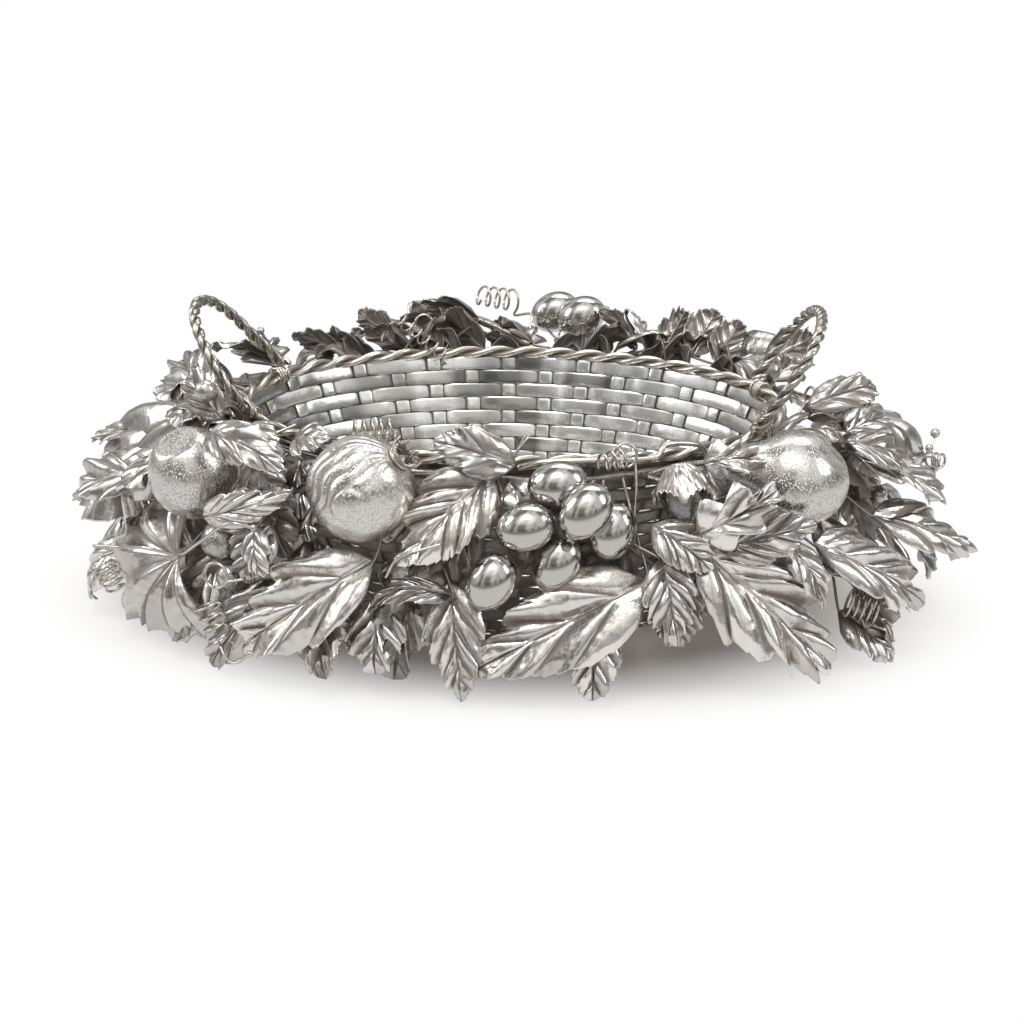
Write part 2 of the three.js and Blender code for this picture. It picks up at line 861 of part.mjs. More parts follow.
// Sprays. Each is one or more leaves that grow from one place on the vine: from is that place, in degrees
// round the oval. angle is the side that a leaf faces, tilt how far it faces up, width its full width,
// kind the outline of its edge and cut its facets. bed names the stretches of the bed that grow with it.
const sprays = {
  leaf_peach_large: {
    from: 224,
    leaves: [
      { base: byRim(221, 72, -60), tip: byRim(203, 95, -88), angle: 214, width: 88, kind: "lobed", tilt: 20 },
    ],
  },
  leaf_pomegranate_large: {
    from: 254,
    leaves: [
      { base: byRim(254, 50, -44), tip: byTable(235, 78, 20), angle: 245, width: 54, tilt: 25, cut: "fine" },
    ],
  },
  leaf_grapes_large: {
    from: 296,
    leaves: [
      { base: byRim(295, 56, -54), tip: byTable(269, 64, 22), angle: 283, width: 56, tilt: 25, cut: "fine" },
    ],
  },
  leaf_pear_large: {
    from: 304,
    leaves: [
      { base: byRim(303, 48, -36), tip: byTable(319, 88, 14), angle: 312, width: 64, tilt: 25, cut: "fine" },
    ],
  },
  leaves_pomegranate: {
    from: 272,
    leaves: [
      { base: byRim(271, 22, 0), tip: byRim(259, 52, -44), angle: 266, width: 48, tilt: 35, cut: "fine" },
      { base: byRim(276, 12, 6), tip: byRim(263, 20, 15), angle: 268, width: 26, tilt: 20 },
    ],
  },
  leaves_left_crown: {
    from: 204,
    bed: [["crown", 172, 214]],
    leaves: [
      { base: byRim(209, 26, 6), tip: byRim(188, 72, 0), angle: 196, width: 52, kind: "lobed", tilt: 60 },
      { base: byRim(198, 24, 6), tip: byRim(170, 50, 14), angle: 184, width: 40, tilt: 60 },
      { base: byRim(205, 42, -8), tip: byRim(187, 96, -28), angle: 196, width: 44, tilt: 50 },
    ],
  },
  leaves_left_side: {
    from: 200,
    bed: [["upper", 172, 214]],
    leaves: [
      { base: byRim(206, 60, -26), tip: byRim(195, 104, -46), angle: 200, width: 46 },
      { base: byRim(192, 62, -38), tip: byRim(188, 110, -66), angle: 190, width: 46, kind: "lobed" },
    ],
  },
  leaves_left_low: {
    from: 188,
    bed: [["lower", 172, 212]],
    leaves: [
      { base: byRim(186, 66, -62), tip: byTable(186, 98, 4), angle: 186, width: 44, tilt: 30 },
      { base: byRim(200, 78, -74), tip: byTable(197, 98, 8), angle: 199, width: 34, tilt: 20 },
      { base: byRim(174, 54, -30), tip: byRim(172, 94, -72), angle: 174, width: 44 },
    ],
  },
  leaves_peach: {
    from: 220,
    leaves: [
      { base: byRim(219, 24, 4), tip: byRim(233, 30, -6), angle: 224, width: 26, tilt: 50 },
      { base: byRim(227, 62, -36), tip: byRim(239, 46, -12), angle: 232, width: 24, tilt: 10 },
    ],
  },
  leaves_peach_low: {
    from: 232,
    bed: [["lower", 212, 244]],
    leaves: [
      { base: byRim(236, 50, -34), tip: byRim(234, 66, -64), angle: 234, width: 32, tilt: 20 },
      { base: byRim(239, 52, -64), tip: byTable(229, 78, 3), angle: 233, width: 36, tilt: 20 },
    ],
  },
  leaves_pomegranate_low: {
    from: 262,
    bed: [["lower", 244, 280]],
    leaves: [
      { base: byRim(254, 40, -66), tip: byTable(255, 60, 14), angle: 255, width: 40, tilt: 10 },
      { base: byRim(265, 40, -56), tip: byTable(268, 57, 5), angle: 266, width: 36, tilt: 10 },
    ],
  },
  leaves_grapes_low: {
    from: 292,
    leaves: [
      { base: byRim(287, 44, -76), tip: byTable(286, 64, 5), angle: 287, width: 32, tilt: 10 },
      { base: byRim(299, 46, -52), tip: byTable(299, 60, 30), angle: 299, width: 34, tilt: 10 },
    ],
  },
  leaves_pear: {
    from: 314,
    leaves: [
      { base: byRim(322, 66, -42), tip: byTable(341, 97, 28), angle: 332, width: 48, cut: "fine" },
      { base: byRim(306, 56, -36), tip: byRim(317, 80, -22), angle: 310, width: 30, tilt: 20 },
      { base: byRim(317, 62, -38), tip: byRim(320, 82, -74), angle: 318, width: 22, tilt: 30 },
    ],
  },
  leaves_right_crown: {
    from: 348,
    bed: [["crown", 330, 372], ["upper", 330, 372]],
    leaves: [
      { base: byRim(354, 46, 2), tip: byRim(2, 88, -28), angle: 356, width: 62, kind: "lobed", tilt: 50 },
      { base: byRim(344, 48, -10), tip: byRim(352, 100, -44), angle: 347, width: 36 },
    ],
  },
  leaves_right_low: {
    from: 338,
    bed: [["lower", 328, 372]],
    leaves: [
      { base: byRim(340, 66, -42), tip: byRim(352, 122, -76), angle: 346, width: 40 },
      { base: byRim(331, 64, -92), tip: byTable(333, 92, 3), angle: 334, width: 34, tilt: 20 },
      { base: byRim(4, 62, -50), tip: byTable(8, 100, 6), angle: 6, width: 46, tilt: 30 },
    ],
  },
  leaves_back_right: {
    from: 34,
    bed: [["crown", 12, 58], ["upper", 12, 58], ["lower", 12, 58]],
    leaves: [
      { base: byRim(24, 34, -8), tip: byTable(22, 92, 20), angle: 23, width: 50, kind: "lobed" },
      { base: byRim(48, 36, -40), tip: byTable(46, 78, 4), angle: 47, width: 48, tilt: 30 },
      { base: byRim(53, 14, 4), tip: byRim(52, 34, 30), angle: 52, width: 28, tilt: 30 },
    ],
  },
  leaves_back_middle: {
    from: 74,
    bed: [["crown", 58, 96], ["upper", 58, 98], ["lower", 58, 98]],
    leaves: [
      { base: byRim(70, 28, -22), tip: byTable(68, 66, 14), angle: 69, width: 50 },
      { base: byRim(90, 30, -34), tip: byTable(90, 62, 4), angle: 90, width: 48, tilt: 30 },
      { base: byRim(64, 12, 4), tip: byRim(71, 32, 20), angle: 68, width: 30, tilt: 50 },
    ],
  },
  leaves_back_left: {
    from: 114,
    bed: [["crown", 96, 136], ["upper", 98, 138], ["lower", 98, 138]],
    leaves: [
      { base: byRim(110, 28, -24), tip: byTable(110, 66, 8), angle: 110, width: 50, kind: "lobed" },
      { base: byRim(128, 32, -26), tip: byTable(130, 72, 14), angle: 129, width: 48 },
      { base: byRim(101, 18, 16), tip: byRim(117, 30, 14), angle: 108, width: 36, tilt: 30 },
    ],
  },
  leaves_back_end: {
    from: 148,
    bed: [["crown", 136, 172], ["upper", 138, 172], ["lower", 138, 172]],
    leaves: [
      { base: byRim(146, 34, -20), tip: byTable(146, 86, 6), angle: 146, width: 50 },
      { base: byRim(160, 44, -30), tip: byTable(160, 96, 16), angle: 160, width: 48, kind: "lobed" },
      { base: byRim(148, 16, 4), tip: byRim(157, 36, 22), angle: 152, width: 34, tilt: 40 },
    ],
  },
};
for (const [name, form] of Object.entries(sprays)) {
  place(name, leafSilver, (grow) => spray(form, grow));
}
for (const [name, form] of Object.entries(sprays)) {
  if (form.bed) fill(name, (grow) => bed(form, grow));
}

const basket = new THREE.Group();
for (const { name, material, solid } of pieces) {
  const mesh = new THREE.Mesh(geometryOf(solid), material);
  mesh.name = name;
  basket.add(mesh);
}

export default basket;

const shortest = gaps.reduce((best, gap) => (gap[1] < best[1] ? gap : best));
console.log("least gap of a wound wire to itself:", shortest[0], shortest[1].toFixed(2), "mm");
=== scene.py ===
import math

import bmesh
import bpy
import numpy as np
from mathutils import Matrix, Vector


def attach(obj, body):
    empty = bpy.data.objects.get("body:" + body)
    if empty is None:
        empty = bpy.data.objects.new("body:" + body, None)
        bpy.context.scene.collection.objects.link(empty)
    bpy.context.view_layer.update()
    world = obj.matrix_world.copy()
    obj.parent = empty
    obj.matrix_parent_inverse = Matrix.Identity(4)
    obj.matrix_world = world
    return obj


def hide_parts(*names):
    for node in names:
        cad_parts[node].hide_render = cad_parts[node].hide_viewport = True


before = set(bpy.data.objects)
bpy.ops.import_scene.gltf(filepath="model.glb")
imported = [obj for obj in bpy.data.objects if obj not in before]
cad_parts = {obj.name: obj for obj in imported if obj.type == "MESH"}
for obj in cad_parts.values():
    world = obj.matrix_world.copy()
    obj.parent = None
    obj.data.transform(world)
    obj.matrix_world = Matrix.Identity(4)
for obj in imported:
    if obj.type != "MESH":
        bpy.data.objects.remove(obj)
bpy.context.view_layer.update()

# A silver centerpiece basket: an oval woven bowl with a twisted rope rim and two rope handles.
# From a vine below the rim hangs a garland of leaves, fruit, grapes and coiled tendrils.
# Sizes are in millimetres up to the moment that a mesh is made, which is in metres.
MM = 0.001

# Bowl, as in the solids
RIM_A = 160.0
RIM_B = 108.0
RIM_HEIGHT = 121.0
FOOT_A = 115.8
FOOT_B = 70.8
TABLE_REACH = 117.0
WALL_FOOT = 2.7
WALL_TOP = 118.0
WALL_HALF = 1.2
ROPE_RADIUS = 4.1

# Base: a plate and the weave that lies on it
BASE_A = 116.6
BASE_B = 71.6
BASE_THICKNESS = 0.9
BASE_EDGE = 0.3
BASE_WEAVE_A = 114.0
BASE_WEAVE_B = 69.0
BASE_PITCH = 9.2
BASE_GAP = 1.0
BASE_STRIP_HEIGHT = 1.65
BASE_STRIP_LIFT = 0.36
BASE_SHEET = 0.5

# Weave
STAKES = 34
WEAVE_ROWS = 14
STRIP_THICKNESS = 0.62
STAKE_WIDTH = 8.8
WEAVE_LIFT = 0.8
STAKE_LIFT = 0.45

# Handles
HANDLE_HALF = 47.0
LEFT_LEAN = 35.0
RIGHT_LEAN = 31.0
HANDLE_RADIUS = 3.4

# Garland
VINE_RADIUS = 2.3
VINE_DROP = 9.0
VINE_SWAY = 1.2
VINE_GAP = 0.6
TABLE_GAP = 0.7
LEAF_SHEET = 0.7
LEAF_BOW = 6.0
HUSK_SHEET = 0.6
CROWN_SHEET = 0.9
TENDRIL_WIRE = 0.8
LOOP_WIRE = 0.85

# Fruit: half of the length along the axis, and the radius round it
PEACH_HALF, PEACH_RADIUS = 27.0, 25.0
POMEGRANATE_HALF, POMEGRANATE_RADIUS = 29.0, 29.4
APPLE_HALF, APPLE_RADIUS = 17.0, 19.0
NUT_HALF, NUT_RADIUS = 17.0, 12.5
PLUM_HALF, PLUM_RADIUS = 17.0, 14.5
BERRY_RADIUS = 12.0
GRAPE_HALF, GRAPE_RADIUS = 16.5, 13.0

# Corners closer than this are one, in metres
SEAM = 0.00002
LEAF_SEAM = 0.00001

UP = np.array([0.0, 0.0, 1.0])


# Places round the oval

def around(angle, out, height):
    """A place at this angle, so far out from the rim's oval, at this height."""
    turn = np.radians(angle)
    return np.stack([
        (RIM_A + out) * np.cos(turn),
        (RIM_B + out) * np.sin(turn),
        height + np.zeros_like(turn, dtype=float),
    ], axis=-1)


def by_rim(angle, out, rise):
    return around(angle, out, RIM_HEIGHT + rise)


def by_table(angle, out, height):
    return around(angle, out, TABLE_GAP + height)


def unit(vectors):
    return vectors / np.maximum(np.linalg.norm(vectors, axis=-1, keepdims=True), 1e-9)


def outward(angle):
    """The level direction out of the oval at this angle."""
    turn = np.radians(angle)
    return unit(np.stack([RIM_B * np.cos(turn), RIM_A * np.sin(turn), 0.0 * turn], axis=-1))


def smoothstep(low, high, x):
    share = np.clip((x - low) / (high - low), 0, 1)
    return share * share * (3 - 2 * share)


def lerp(a, b, share):
    return a + (b - a) * share


WALL_SLOPE = (RIM_A - TABLE_REACH) / RIM_HEIGHT
VINE_OUT = WALL_HALF - WALL_SLOPE * VINE_DROP + VINE_RADIUS + VINE_GAP


def vine_point(angle, beyond=0.0):
    """A place on the vine, which sways a little, or so far outside it."""
    sway = VINE_SWAY * (1 + np.sin(np.radians(angle * 9)))
    rise = VINE_SWAY * np.cos(np.radians(angle * 7)) - VINE_DROP
    return by_rim(angle, VINE_OUT + sway + beyond, rise)


# Mesh building. Every shape starts as a grid or a ball whose corners are then moved into place.

def new_grid(bm, columns, rows):
    """A flat grid's corners, with u from -1 to 1 over its columns and v from 0 to 1 over its
    rows."""
    made = bmesh.ops.create_grid(bm, x_segments=columns, y_segments=rows, size=1)["verts"]
    spots = np.array([vert.co[:2] for vert in made])
    return made, spots[:, 0], (spots[:, 1] + 1) / 2


def put(verts, places):
    """Moves corners to places in millimetres."""
    for vert, place in zip(verts, (places * MM).tolist()):
        vert.co = place


def mark(bm, verts, name, values):
    """Writes what the finishes read: one value for all of these corners, or one for each."""
    layer = bm.verts.layers.float.get(name) or bm.verts.layers.float.new(name)
    for vert, value in zip(verts, np.broadcast_to(values, len(verts)).tolist()):
        vert[layer] = value


def close_seams(bm, verts, gap=SEAM):
    bmesh.ops.remove_doubles(bm, verts=verts, dist=gap)


def new_bmesh():
    bm = bmesh.new()
    for name in ("recess", "tone", "stipple"):
        bm.verts.layers.float.new(name)
    return bm


def smooth_path(points, count):
    """A smooth curve through the points, as evenly spaced places."""
    points = np.array(points, dtype=float)
    padded = np.vstack([2 * points[0] - points[1], points, 2 * points[-1] - points[-2]])
    spans = len(points) - 1
    fine = []
    for span in range(spans):
        a, b, c, d = padded[span:span + 4]
        t = np.linspace(0, 1, 24, endpoint=span == spans - 1)[:, None]
        fine.append(0.5 * (2 * b + (c - a) * t + (2 * a - 5 * b + 4 * c - d) * t**2
                           + (3 * b - a - 3 * c + d) * t**3))
    return evenly(np.vstack(fine), count)


def rim_path(spots, count):
    """The same through places by the rim, each as angle, out and rise."""
    return smooth_path([by_rim(*spot) for spot in spots], count)


def evenly(path, count):
    steps = np.linalg.norm(np.diff(path, axis=0), axis=1)
    run = np.concatenate([[0], np.cumsum(steps)])
    spots = np.linspace(0, run[-1], count)
    return np.stack([np.interp(spots, run, path[:, k]) for k in range(3)], axis=1)


def frames(path):
    """Two cross directions at every place of a path, carried along without twist."""
    tangent = unit(np.gradient(path, axis=0))
    side = np.cross(tangent[0], UP)
    if np.linalg.norm(side) < 0.2:
        side = np.cross(tangent[0], np.array([1.0, 0, 0]))
    sides = []
    for t in tangent:
        side = side - t * side.dot(t)
        side = side / np.linalg.norm(side)
        sides.append(side)
    sides = np.array(sides)
    return sides, np.cross(tangent, sides)


def across_axis(axis):
    """The axis at unit length, and two directions across it."""
    axis = unit(np.array(axis, dtype=float))
    side = unit(np.cross(axis, UP if abs(axis[2]) < 0.9 else np.array([1.0, 0, 0])))
    return axis, side, np.cross(axis, side)


def turned(side, third, turn):
    """Directions at these turns from side towards third."""
    return side * np.cos(turn)[:, None] + third * np.sin(turn)[:, None]


def tube(bm, path, radius, sides=10, recess=0.0, tone=0.5, rounded=True, core=None, reach=1.0):
    """A round wire along a path, with round ends. The radius is a number or one for each place.
    Where the wire lies in a rope, core is the rope's middle and reach its radius, and the inner
    side is dark."""
    path = np.array(path)
    radius = np.broadcast_to(np.array(radius, dtype=float), len(path)).copy()
    if rounded:
        tangent = unit(np.gradient(path, axis=0))
        ends = np.array([0.0, 0.5, 0.87])
        start = path[0] + tangent[0] * radius[0] * (ends - 1)[:, None]
        finish = path[-1] + tangent[-1] * radius[-1] * (1 - ends[::-1])[:, None]
        first = radius[0] * np.array([0.0, 0.87, 0.97])
        last = radius[-1] * np.array([0.97, 0.87, 0.0])
        path = np.vstack([start, path, finish])
        radius = np.concatenate([first, radius, last])
        if core is not None:
            core = np.vstack([core[[0, 0, 0]], core, core[[-1, -1, -1]]])
    side, third = frames(path)
    verts, u, v = new_grid(bm, sides, len(path) - 1)
    row = np.rint(v * (len(path) - 1)).astype(int)
    places = path[row] + radius[row][:, None] * turned(side[row], third[row], (u + 1) * math.pi)
    put(verts, places)
    if core is not None:
        recess = recess + rope_shade(places, core[row], reach)
    mark(bm, verts, "recess", recess)
    mark(bm, verts, "tone", tone)
    close_seams(bm, verts)


def rope_shade(places, core, reach):
    """Dark where the wires of a rope meet, bright on their outer side."""
    return smoothstep(0.86 * reach, 0.5 * reach, np.linalg.norm(places - core, axis=-1))


def ball(bm, centre, axis, shape, segments=48, rings=32, recess=None, stipple=0.0, tone=0.5):
    """A turned body: shape gives, for the distance along the axis from -1 to 1 and the turn round
    it, the millimetres along and out from the axis."""
    made = bmesh.ops.create_uvsphere(bm, u_segments=segments, v_segments=rings, radius=1)["verts"]
    spots = np.array([vert.co[:] for vert in made])
    axis, side, third = across_axis(axis)
    turn = np.arctan2(spots[:, 1], spots[:, 0])
    along, out = shape(spots[:, 2], turn)
    put(made, np.array(centre) + axis * along[:, None] + out[:, None] * turned(side, third, turn))
    mark(bm, made, "recess", recess(spots[:, 2], turn) if recess else 0.0)
    mark(bm, made, "stipple", stipple)
    mark(bm, made, "tone", tone)


def egg(half_length, radius, fullness=0.0):
    """The shape of an egg, fuller by this share away from its axis's tip."""
    def shape(height, turn):
        out = radius * level_radius(height) * (1 - fullness * height)
        return half_length * height, out
    return shape


def level_radius(height):
    """A ball's radius at a height, both as shares of its own radius."""
    return np.sqrt(np.clip(1 - height**2, 0, 1))


# Finishes

def feed(tree, value, entry):
    """Sets an input to a number, or joins an output to it."""
    if isinstance(value, (int, float)):
        entry.default_value = value
    else:
        tree.links.new(value, entry)


def node(tree, kind, values=None, **settings):
    made = tree.nodes.new(kind)
    for name, value in settings.items():
        setattr(made, name, value)
    for name, value in (values or {}).items():
        made.inputs[name].default_value = value
    return made


def maths(tree, operation, a, b, clamp=False):
    made = node(tree, "ShaderNodeMath", operation=operation, use_clamp=clamp)
    feed(tree, a, made.inputs[0])
    feed(tree, b, made.inputs[1])
    return made.outputs[0]


def times(tree, a, b):
    return maths(tree, "MULTIPLY", a, b)


def plus(tree, a, b):
    return maths(tree, "ADD", a, b)


def ranged(tree, value, low=0.0, high=1.0, to_low=0.0, to_high=1.0, smooth=False):
    """A value from low to high as one from to_low to to_high."""
    made = node(tree, "ShaderNodeMapRange", {"From Min": low, "From Max": high,
                                             "To Min": to_low, "To Max": to_high})
    if smooth:
        made.interpolation_type = "SMOOTHSTEP"
    feed(tree, value, made.inputs["Value"])
    return made.outputs["Result"]


def noise(tree, place, scale, detail, roughness):
    made = node(tree, "ShaderNodeTexNoise", {"Detail": detail, "Roughness": roughness})
    feed(tree, place, made.inputs["Vector"])
    feed(tree, scale, made.inputs["Scale"])
    return made.outputs["Fac"]


def mixed(tree, share, a, b, **settings):
    made = node(tree, "ShaderNodeMix", **settings)
    for name, value in (("Factor", share), ("A", a), ("B", b)):
        feed(tree, value, made.inputs[name])
    return made.outputs["Result"]


AGED_INPUTS = {
    "Bright": "Color", "Dark": "Color", "Recess": "Float", "Tone": "Float", "Cloud Amount": "Float",
    "Speckle": "Float", "Polish": "Float", "Dullness": "Float", "Dents": "Float",
    "Dent Size": "Float",
}
AGED_OUTPUTS = {"Color": "Color", "Metallic": "Float", "Roughness": "Float", "Normal": "Vector"}
# Sizes of the patterns, in cells to a metre, and the depths of dents and pits in metres
CLOUD_SIZE = 70.0
SPECK_SIZE = 1100.0
DENT_SIZE = 190.0
PIT_SIZE = 800.0
DENT_DEPTH = 0.002
PIT_DEPTH = 0.0006
# How far round a place other surfaces shade it, in metres
SHADE_REACH = 0.014
# The dark colour of tarnish and painted shade starts at the first share of recess and dirt and is
# full at the second
TARNISH_AND_SHADE = (0.22, 0.68)
DARKENED_METAL = 0.38


def aged_silver_group():
    """Bright silver on the ridges, a dark colour in the recesses with a speckled edge, partly
    oxide and partly painted shade, cloudy tarnish, and the shallow dents of a hammer."""
    group = bpy.data.node_groups.new("aged_silver", "ShaderNodeTree")
    for way, kinds in (("INPUT", AGED_INPUTS), ("OUTPUT", AGED_OUTPUTS)):
        for name, kind in kinds.items():
            group.interface.new_socket(name=name, in_out=way, socket_type="NodeSocket" + kind)
    given = node(group, "NodeGroupInput").outputs
    result = node(group, "NodeGroupOutput").inputs
    place = node(group, "ShaderNodeTexCoord").outputs["Object"]
    cloud = noise(group, place, CLOUD_SIZE, 3.0, 0.6)
    speck = noise(group, place, SPECK_SIZE, 2.0, 0.7)
    cloudy = times(group, maths(group, "SUBTRACT", cloud, 0.5), 2.4)
    cloudy = times(group, cloudy, given["Cloud Amount"])
    specky = times(group, maths(group, "SUBTRACT", speck, 0.5), 2.0)
    dirt = plus(group, cloudy, times(group, specky, given["Speckle"]))
    dull = ranged(group, plus(group, given["Recess"], dirt), *TARNISH_AND_SHADE, smooth=True)
    shade = ranged(group, given["Tone"], to_low=0.25, to_high=1.25)
    bright = mixed(group, 1.0, given["Bright"], shade, data_type="RGBA", blend_type="MULTIPLY")
    feed(group, mixed(group, dull, bright, given["Dark"], data_type="RGBA"), result["Color"])
    feed(group, ranged(group, dull, to_low=1.0, to_high=DARKENED_METAL), result["Metallic"])
    gloss = mixed(group, dull, given["Polish"], given["Dullness"], data_type="FLOAT")
    rough = maths(group, "ADD", gloss, times(group, specky, 0.06), clamp=True)
    feed(group, rough, result["Roughness"])
    dent = noise(group, place, given["Dent Size"], 1.5, 0.45)
    bump = node(group, "ShaderNodeBump", {"Distance": DENT_DEPTH})
    feed(group, plus(group, dent, times(group, speck, 0.05)), bump.inputs["Height"])
    feed(group, given["Dents"], bump.inputs["Strength"])
    feed(group, bump.outputs["Normal"], result["Normal"])
    return group


def silver_finish(name, group, bright, dark, polish, dullness, dents, cloud, shadow, speckle=0.5,
                  dent_size=DENT_SIZE, pits=False):
    made = bpy.data.materials.new(name)
    made.use_nodes = True
    tree = made.node_tree
    shader = tree.nodes["Principled BSDF"]
    look = {"Bright": (*bright, 1), "Dark": (*dark, 1), "Polish": polish, "Dullness": dullness,
            "Dents": dents, "Dent Size": dent_size, "Speckle": speckle, "Cloud Amount": cloud}
    aged = node(tree, "ShaderNodeGroup", look, node_tree=group)
    recess, tone, stipple = (
        node(tree, "ShaderNodeAttribute", attribute_name=layer).outputs["Fac"]
        for layer in ("recess", "tone", "stipple"))
    # Painted shade: darker where other surfaces come near, by the finish's shadow share
    deep = node(tree, "ShaderNodeAmbientOcclusion", {"Distance": SHADE_REACH}, samples=6)
    hidden = times(tree, maths(tree, "SUBTRACT", 1.0, deep.outputs["AO"]), shadow)
    total = plus(tree, recess, hidden)
    normal = aged.outputs["Normal"]
    if pits:
        place = node(tree, "ShaderNodeTexCoord").outputs["Object"]
        cells = node(tree, "ShaderNodeTexVoronoi", {"Scale": PIT_SIZE, "Randomness": 1.0})
        feed(tree, place, cells.inputs["Vector"])
        pit = ranged(tree, cells.outputs["Distance"], 0.15, 0.4, 1.0, 0.0)
        punched = times(tree, pit, stipple)
        total = plus(tree, total, times(tree, punched, 0.5))
        sunk = node(tree, "ShaderNodeBump", {"Distance": PIT_DEPTH, "Strength": 0.6}, invert=True)
        feed(tree, punched, sunk.inputs["Height"])
        feed(tree, normal, sunk.inputs["Normal"])
        normal = sunk.outputs["Normal"]
    feed(tree, total, aged.inputs["Recess"])
    feed(tree, tone, aged.inputs["Tone"])
    feed(tree, aged.outputs["Color"], shader.inputs["Base Color"])
    feed(tree, normal, shader.inputs["Normal"])
    for part in ("Metallic", "Roughness"):
        feed(tree, aged.outputs[part], shader.inputs[part])
    return made


OXIDE = (0.3, 0.268, 0.24)
SILVERS = {
    "woven_silver": dict(bright=(0.84, 0.825, 0.8), dark=(0.2, 0.182, 0.165), polish=0.2,
                         dullness=0.42, dents=0.06, cloud=0.14, speckle=0.14, shadow=0.22),
    "rope_silver": dict(bright=(0.79, 0.74, 0.66), dark=(0.29, 0.255, 0.22), polish=0.22,
                        dullness=0.42, dents=0.02, cloud=0.1, speckle=0.04, shadow=0.35),
    "tendril_silver": dict(bright=(0.66, 0.62, 0.565), dark=(0.19, 0.168, 0.147), polish=0.18,
                           dullness=0.38, dents=0.02, cloud=0.15, speckle=0.08, shadow=0.4),
    "stem_silver": dict(bright=(0.42, 0.385, 0.345), dark=OXIDE, polish=0.3, dullness=0.5,
                        dents=0.2, cloud=0.4, dent_size=420.0, shadow=0.5),
    "grape_silver": dict(bright=(0.61, 0.59, 0.56), dark=(0.18, 0.158, 0.138), polish=0.12,
                         dullness=0.3, dents=0.02, cloud=0.12, speckle=0.12, shadow=0.55),
    "fruit_silver": dict(bright=(0.67, 0.65, 0.62), dark=OXIDE, polish=0.24, dullness=0.48,
                         dents=0.2, cloud=0.34, shadow=0.4, pits=True),
    "leaf_silver": dict(bright=(0.7, 0.67, 0.632), dark=OXIDE, polish=0.19, dullness=0.44,
                        dents=0.2, cloud=0.36, speckle=0.45, shadow=0.5),
}
AGED = aged_silver_group()
FINISHES = {name: silver_finish(name, AGED, **look) for name, look in SILVERS.items()}


def finish_piece(name, bm, finish, stands_for=(), sheet=0.0, close=True):
    """Makes the object of a piece, with its finish, on the one body that the basket is."""
    if close:
        bmesh.ops.recalc_face_normals(bm, faces=bm.faces)
    mesh = bpy.data.meshes.new(name)
    bm.to_mesh(mesh)
    bm.free()
    mesh.shade_smooth()
    mesh.materials.append(FINISHES[finish])
    piece = bpy.data.objects.new(name, mesh)
    bpy.context.scene.collection.objects.link(piece)
    if sheet:
        wall = piece.modifiers.new("sheet", "SOLIDIFY")
        wall.thickness = sheet * MM
        wall.offset = 0.0
    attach(piece, "root")
    if stands_for:
        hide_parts(*stands_for)


# Bowl

def bowl_turns(shares):
    """Turns round the oval, in radians, that are evenly spaced along the wall at half height."""
    fine = np.linspace(-2 * math.pi, 4 * math.pi, 6001)
    a, b = (RIM_A + FOOT_A) / 2, (RIM_B + FOOT_B) / 2
    speed = np.hypot(a * np.sin(fine), b * np.cos(fine))
    run = np.concatenate([[0], np.cumsum((speed[1:] + speed[:-1]) / 2 * np.diff(fine))])
    start, finish = np.interp([0, 2 * math.pi], fine, run)
    return np.interp(shares, (run - start) / (finish - start), fine)


# The way that the outer side of the wall faces
WALL_OUT, WALL_DOWN = 0.94, 0.33


def bowl_place(turn, height, lift):
    """A place on the wall at this turn and height, lifted so far out of it."""
    share = (height - WALL_FOOT) / (WALL_TOP - WALL_FOOT)
    a = lerp(FOOT_A, RIM_A, share)
    b = lerp(FOOT_B, RIM_B, share)
    level = unit(np.stack([b * np.cos(turn), a * np.sin(turn), 0 * turn], axis=-1))
    spot = np.stack([a * np.cos(turn), b * np.sin(turn), height], axis=-1)
    return spot + level * (WALL_OUT * lift)[:, None] - UP * (WALL_DOWN * lift)[:, None]


# Each strip shows as runs between its dives, and each run has its own tone, lean and slope
ROW_PITCH = (WALL_TOP - WALL_FOOT) / WEAVE_ROWS
STRIP_WIDTH = ROW_PITCH - 0.1
chance = np.random.default_rng(11)
RUNS = STAKES // 2
# The tone of a run is partly tarnish that differs at random and partly painted reflection
RUN_TONE = 0.16 + 0.9 * chance.random((WEAVE_ROWS, RUNS))
RUN_LEAN = chance.uniform(-1, 1, (WEAVE_ROWS, RUNS, 3))
STAKE_TONE = 0.42 + 0.6 * chance.random((WEAVE_ROWS + 1, STAKES)) ** 1.2
# Painted shade: how much darker the outer side of the wall is, where the garland shades it
OUTER_SHADE = 0.5
# Painted reflection: where the inside of the back wall shows bright columns, as if mirrored:
# middle and half width in degrees
PAINTED_REFLECTIONS = ((113, 5), (84, 2.5), (75, 4), (61, 7), (47, 6))


def painted_reflection_at(turn):
    angle = np.degrees(turn) % 360
    return sum(np.exp(-((angle - middle) / half) ** 4) for middle, half in PAINTED_REFLECTIONS)


def section(share):
    """Places round the section of a strip, from -1 to 1 over its width and thickness, with round
    edges."""
    flat, thick = np.cos(2 * math.pi * share), np.sin(2 * math.pi * share)
    return np.sign(flat) * np.abs(flat) ** 0.6, np.sign(thick) * np.abs(thick) ** 0.5


def weave_wave(place):
    """How far a strip rises over a stake or dives under it: mostly round, a little flat on top."""
    wave = np.cos(math.pi * place)
    return 0.65 * wave + 0.35 * flattened(wave)


def flattened(wave):
    return np.tanh(2.6 * wave) / math.tanh(2.6)


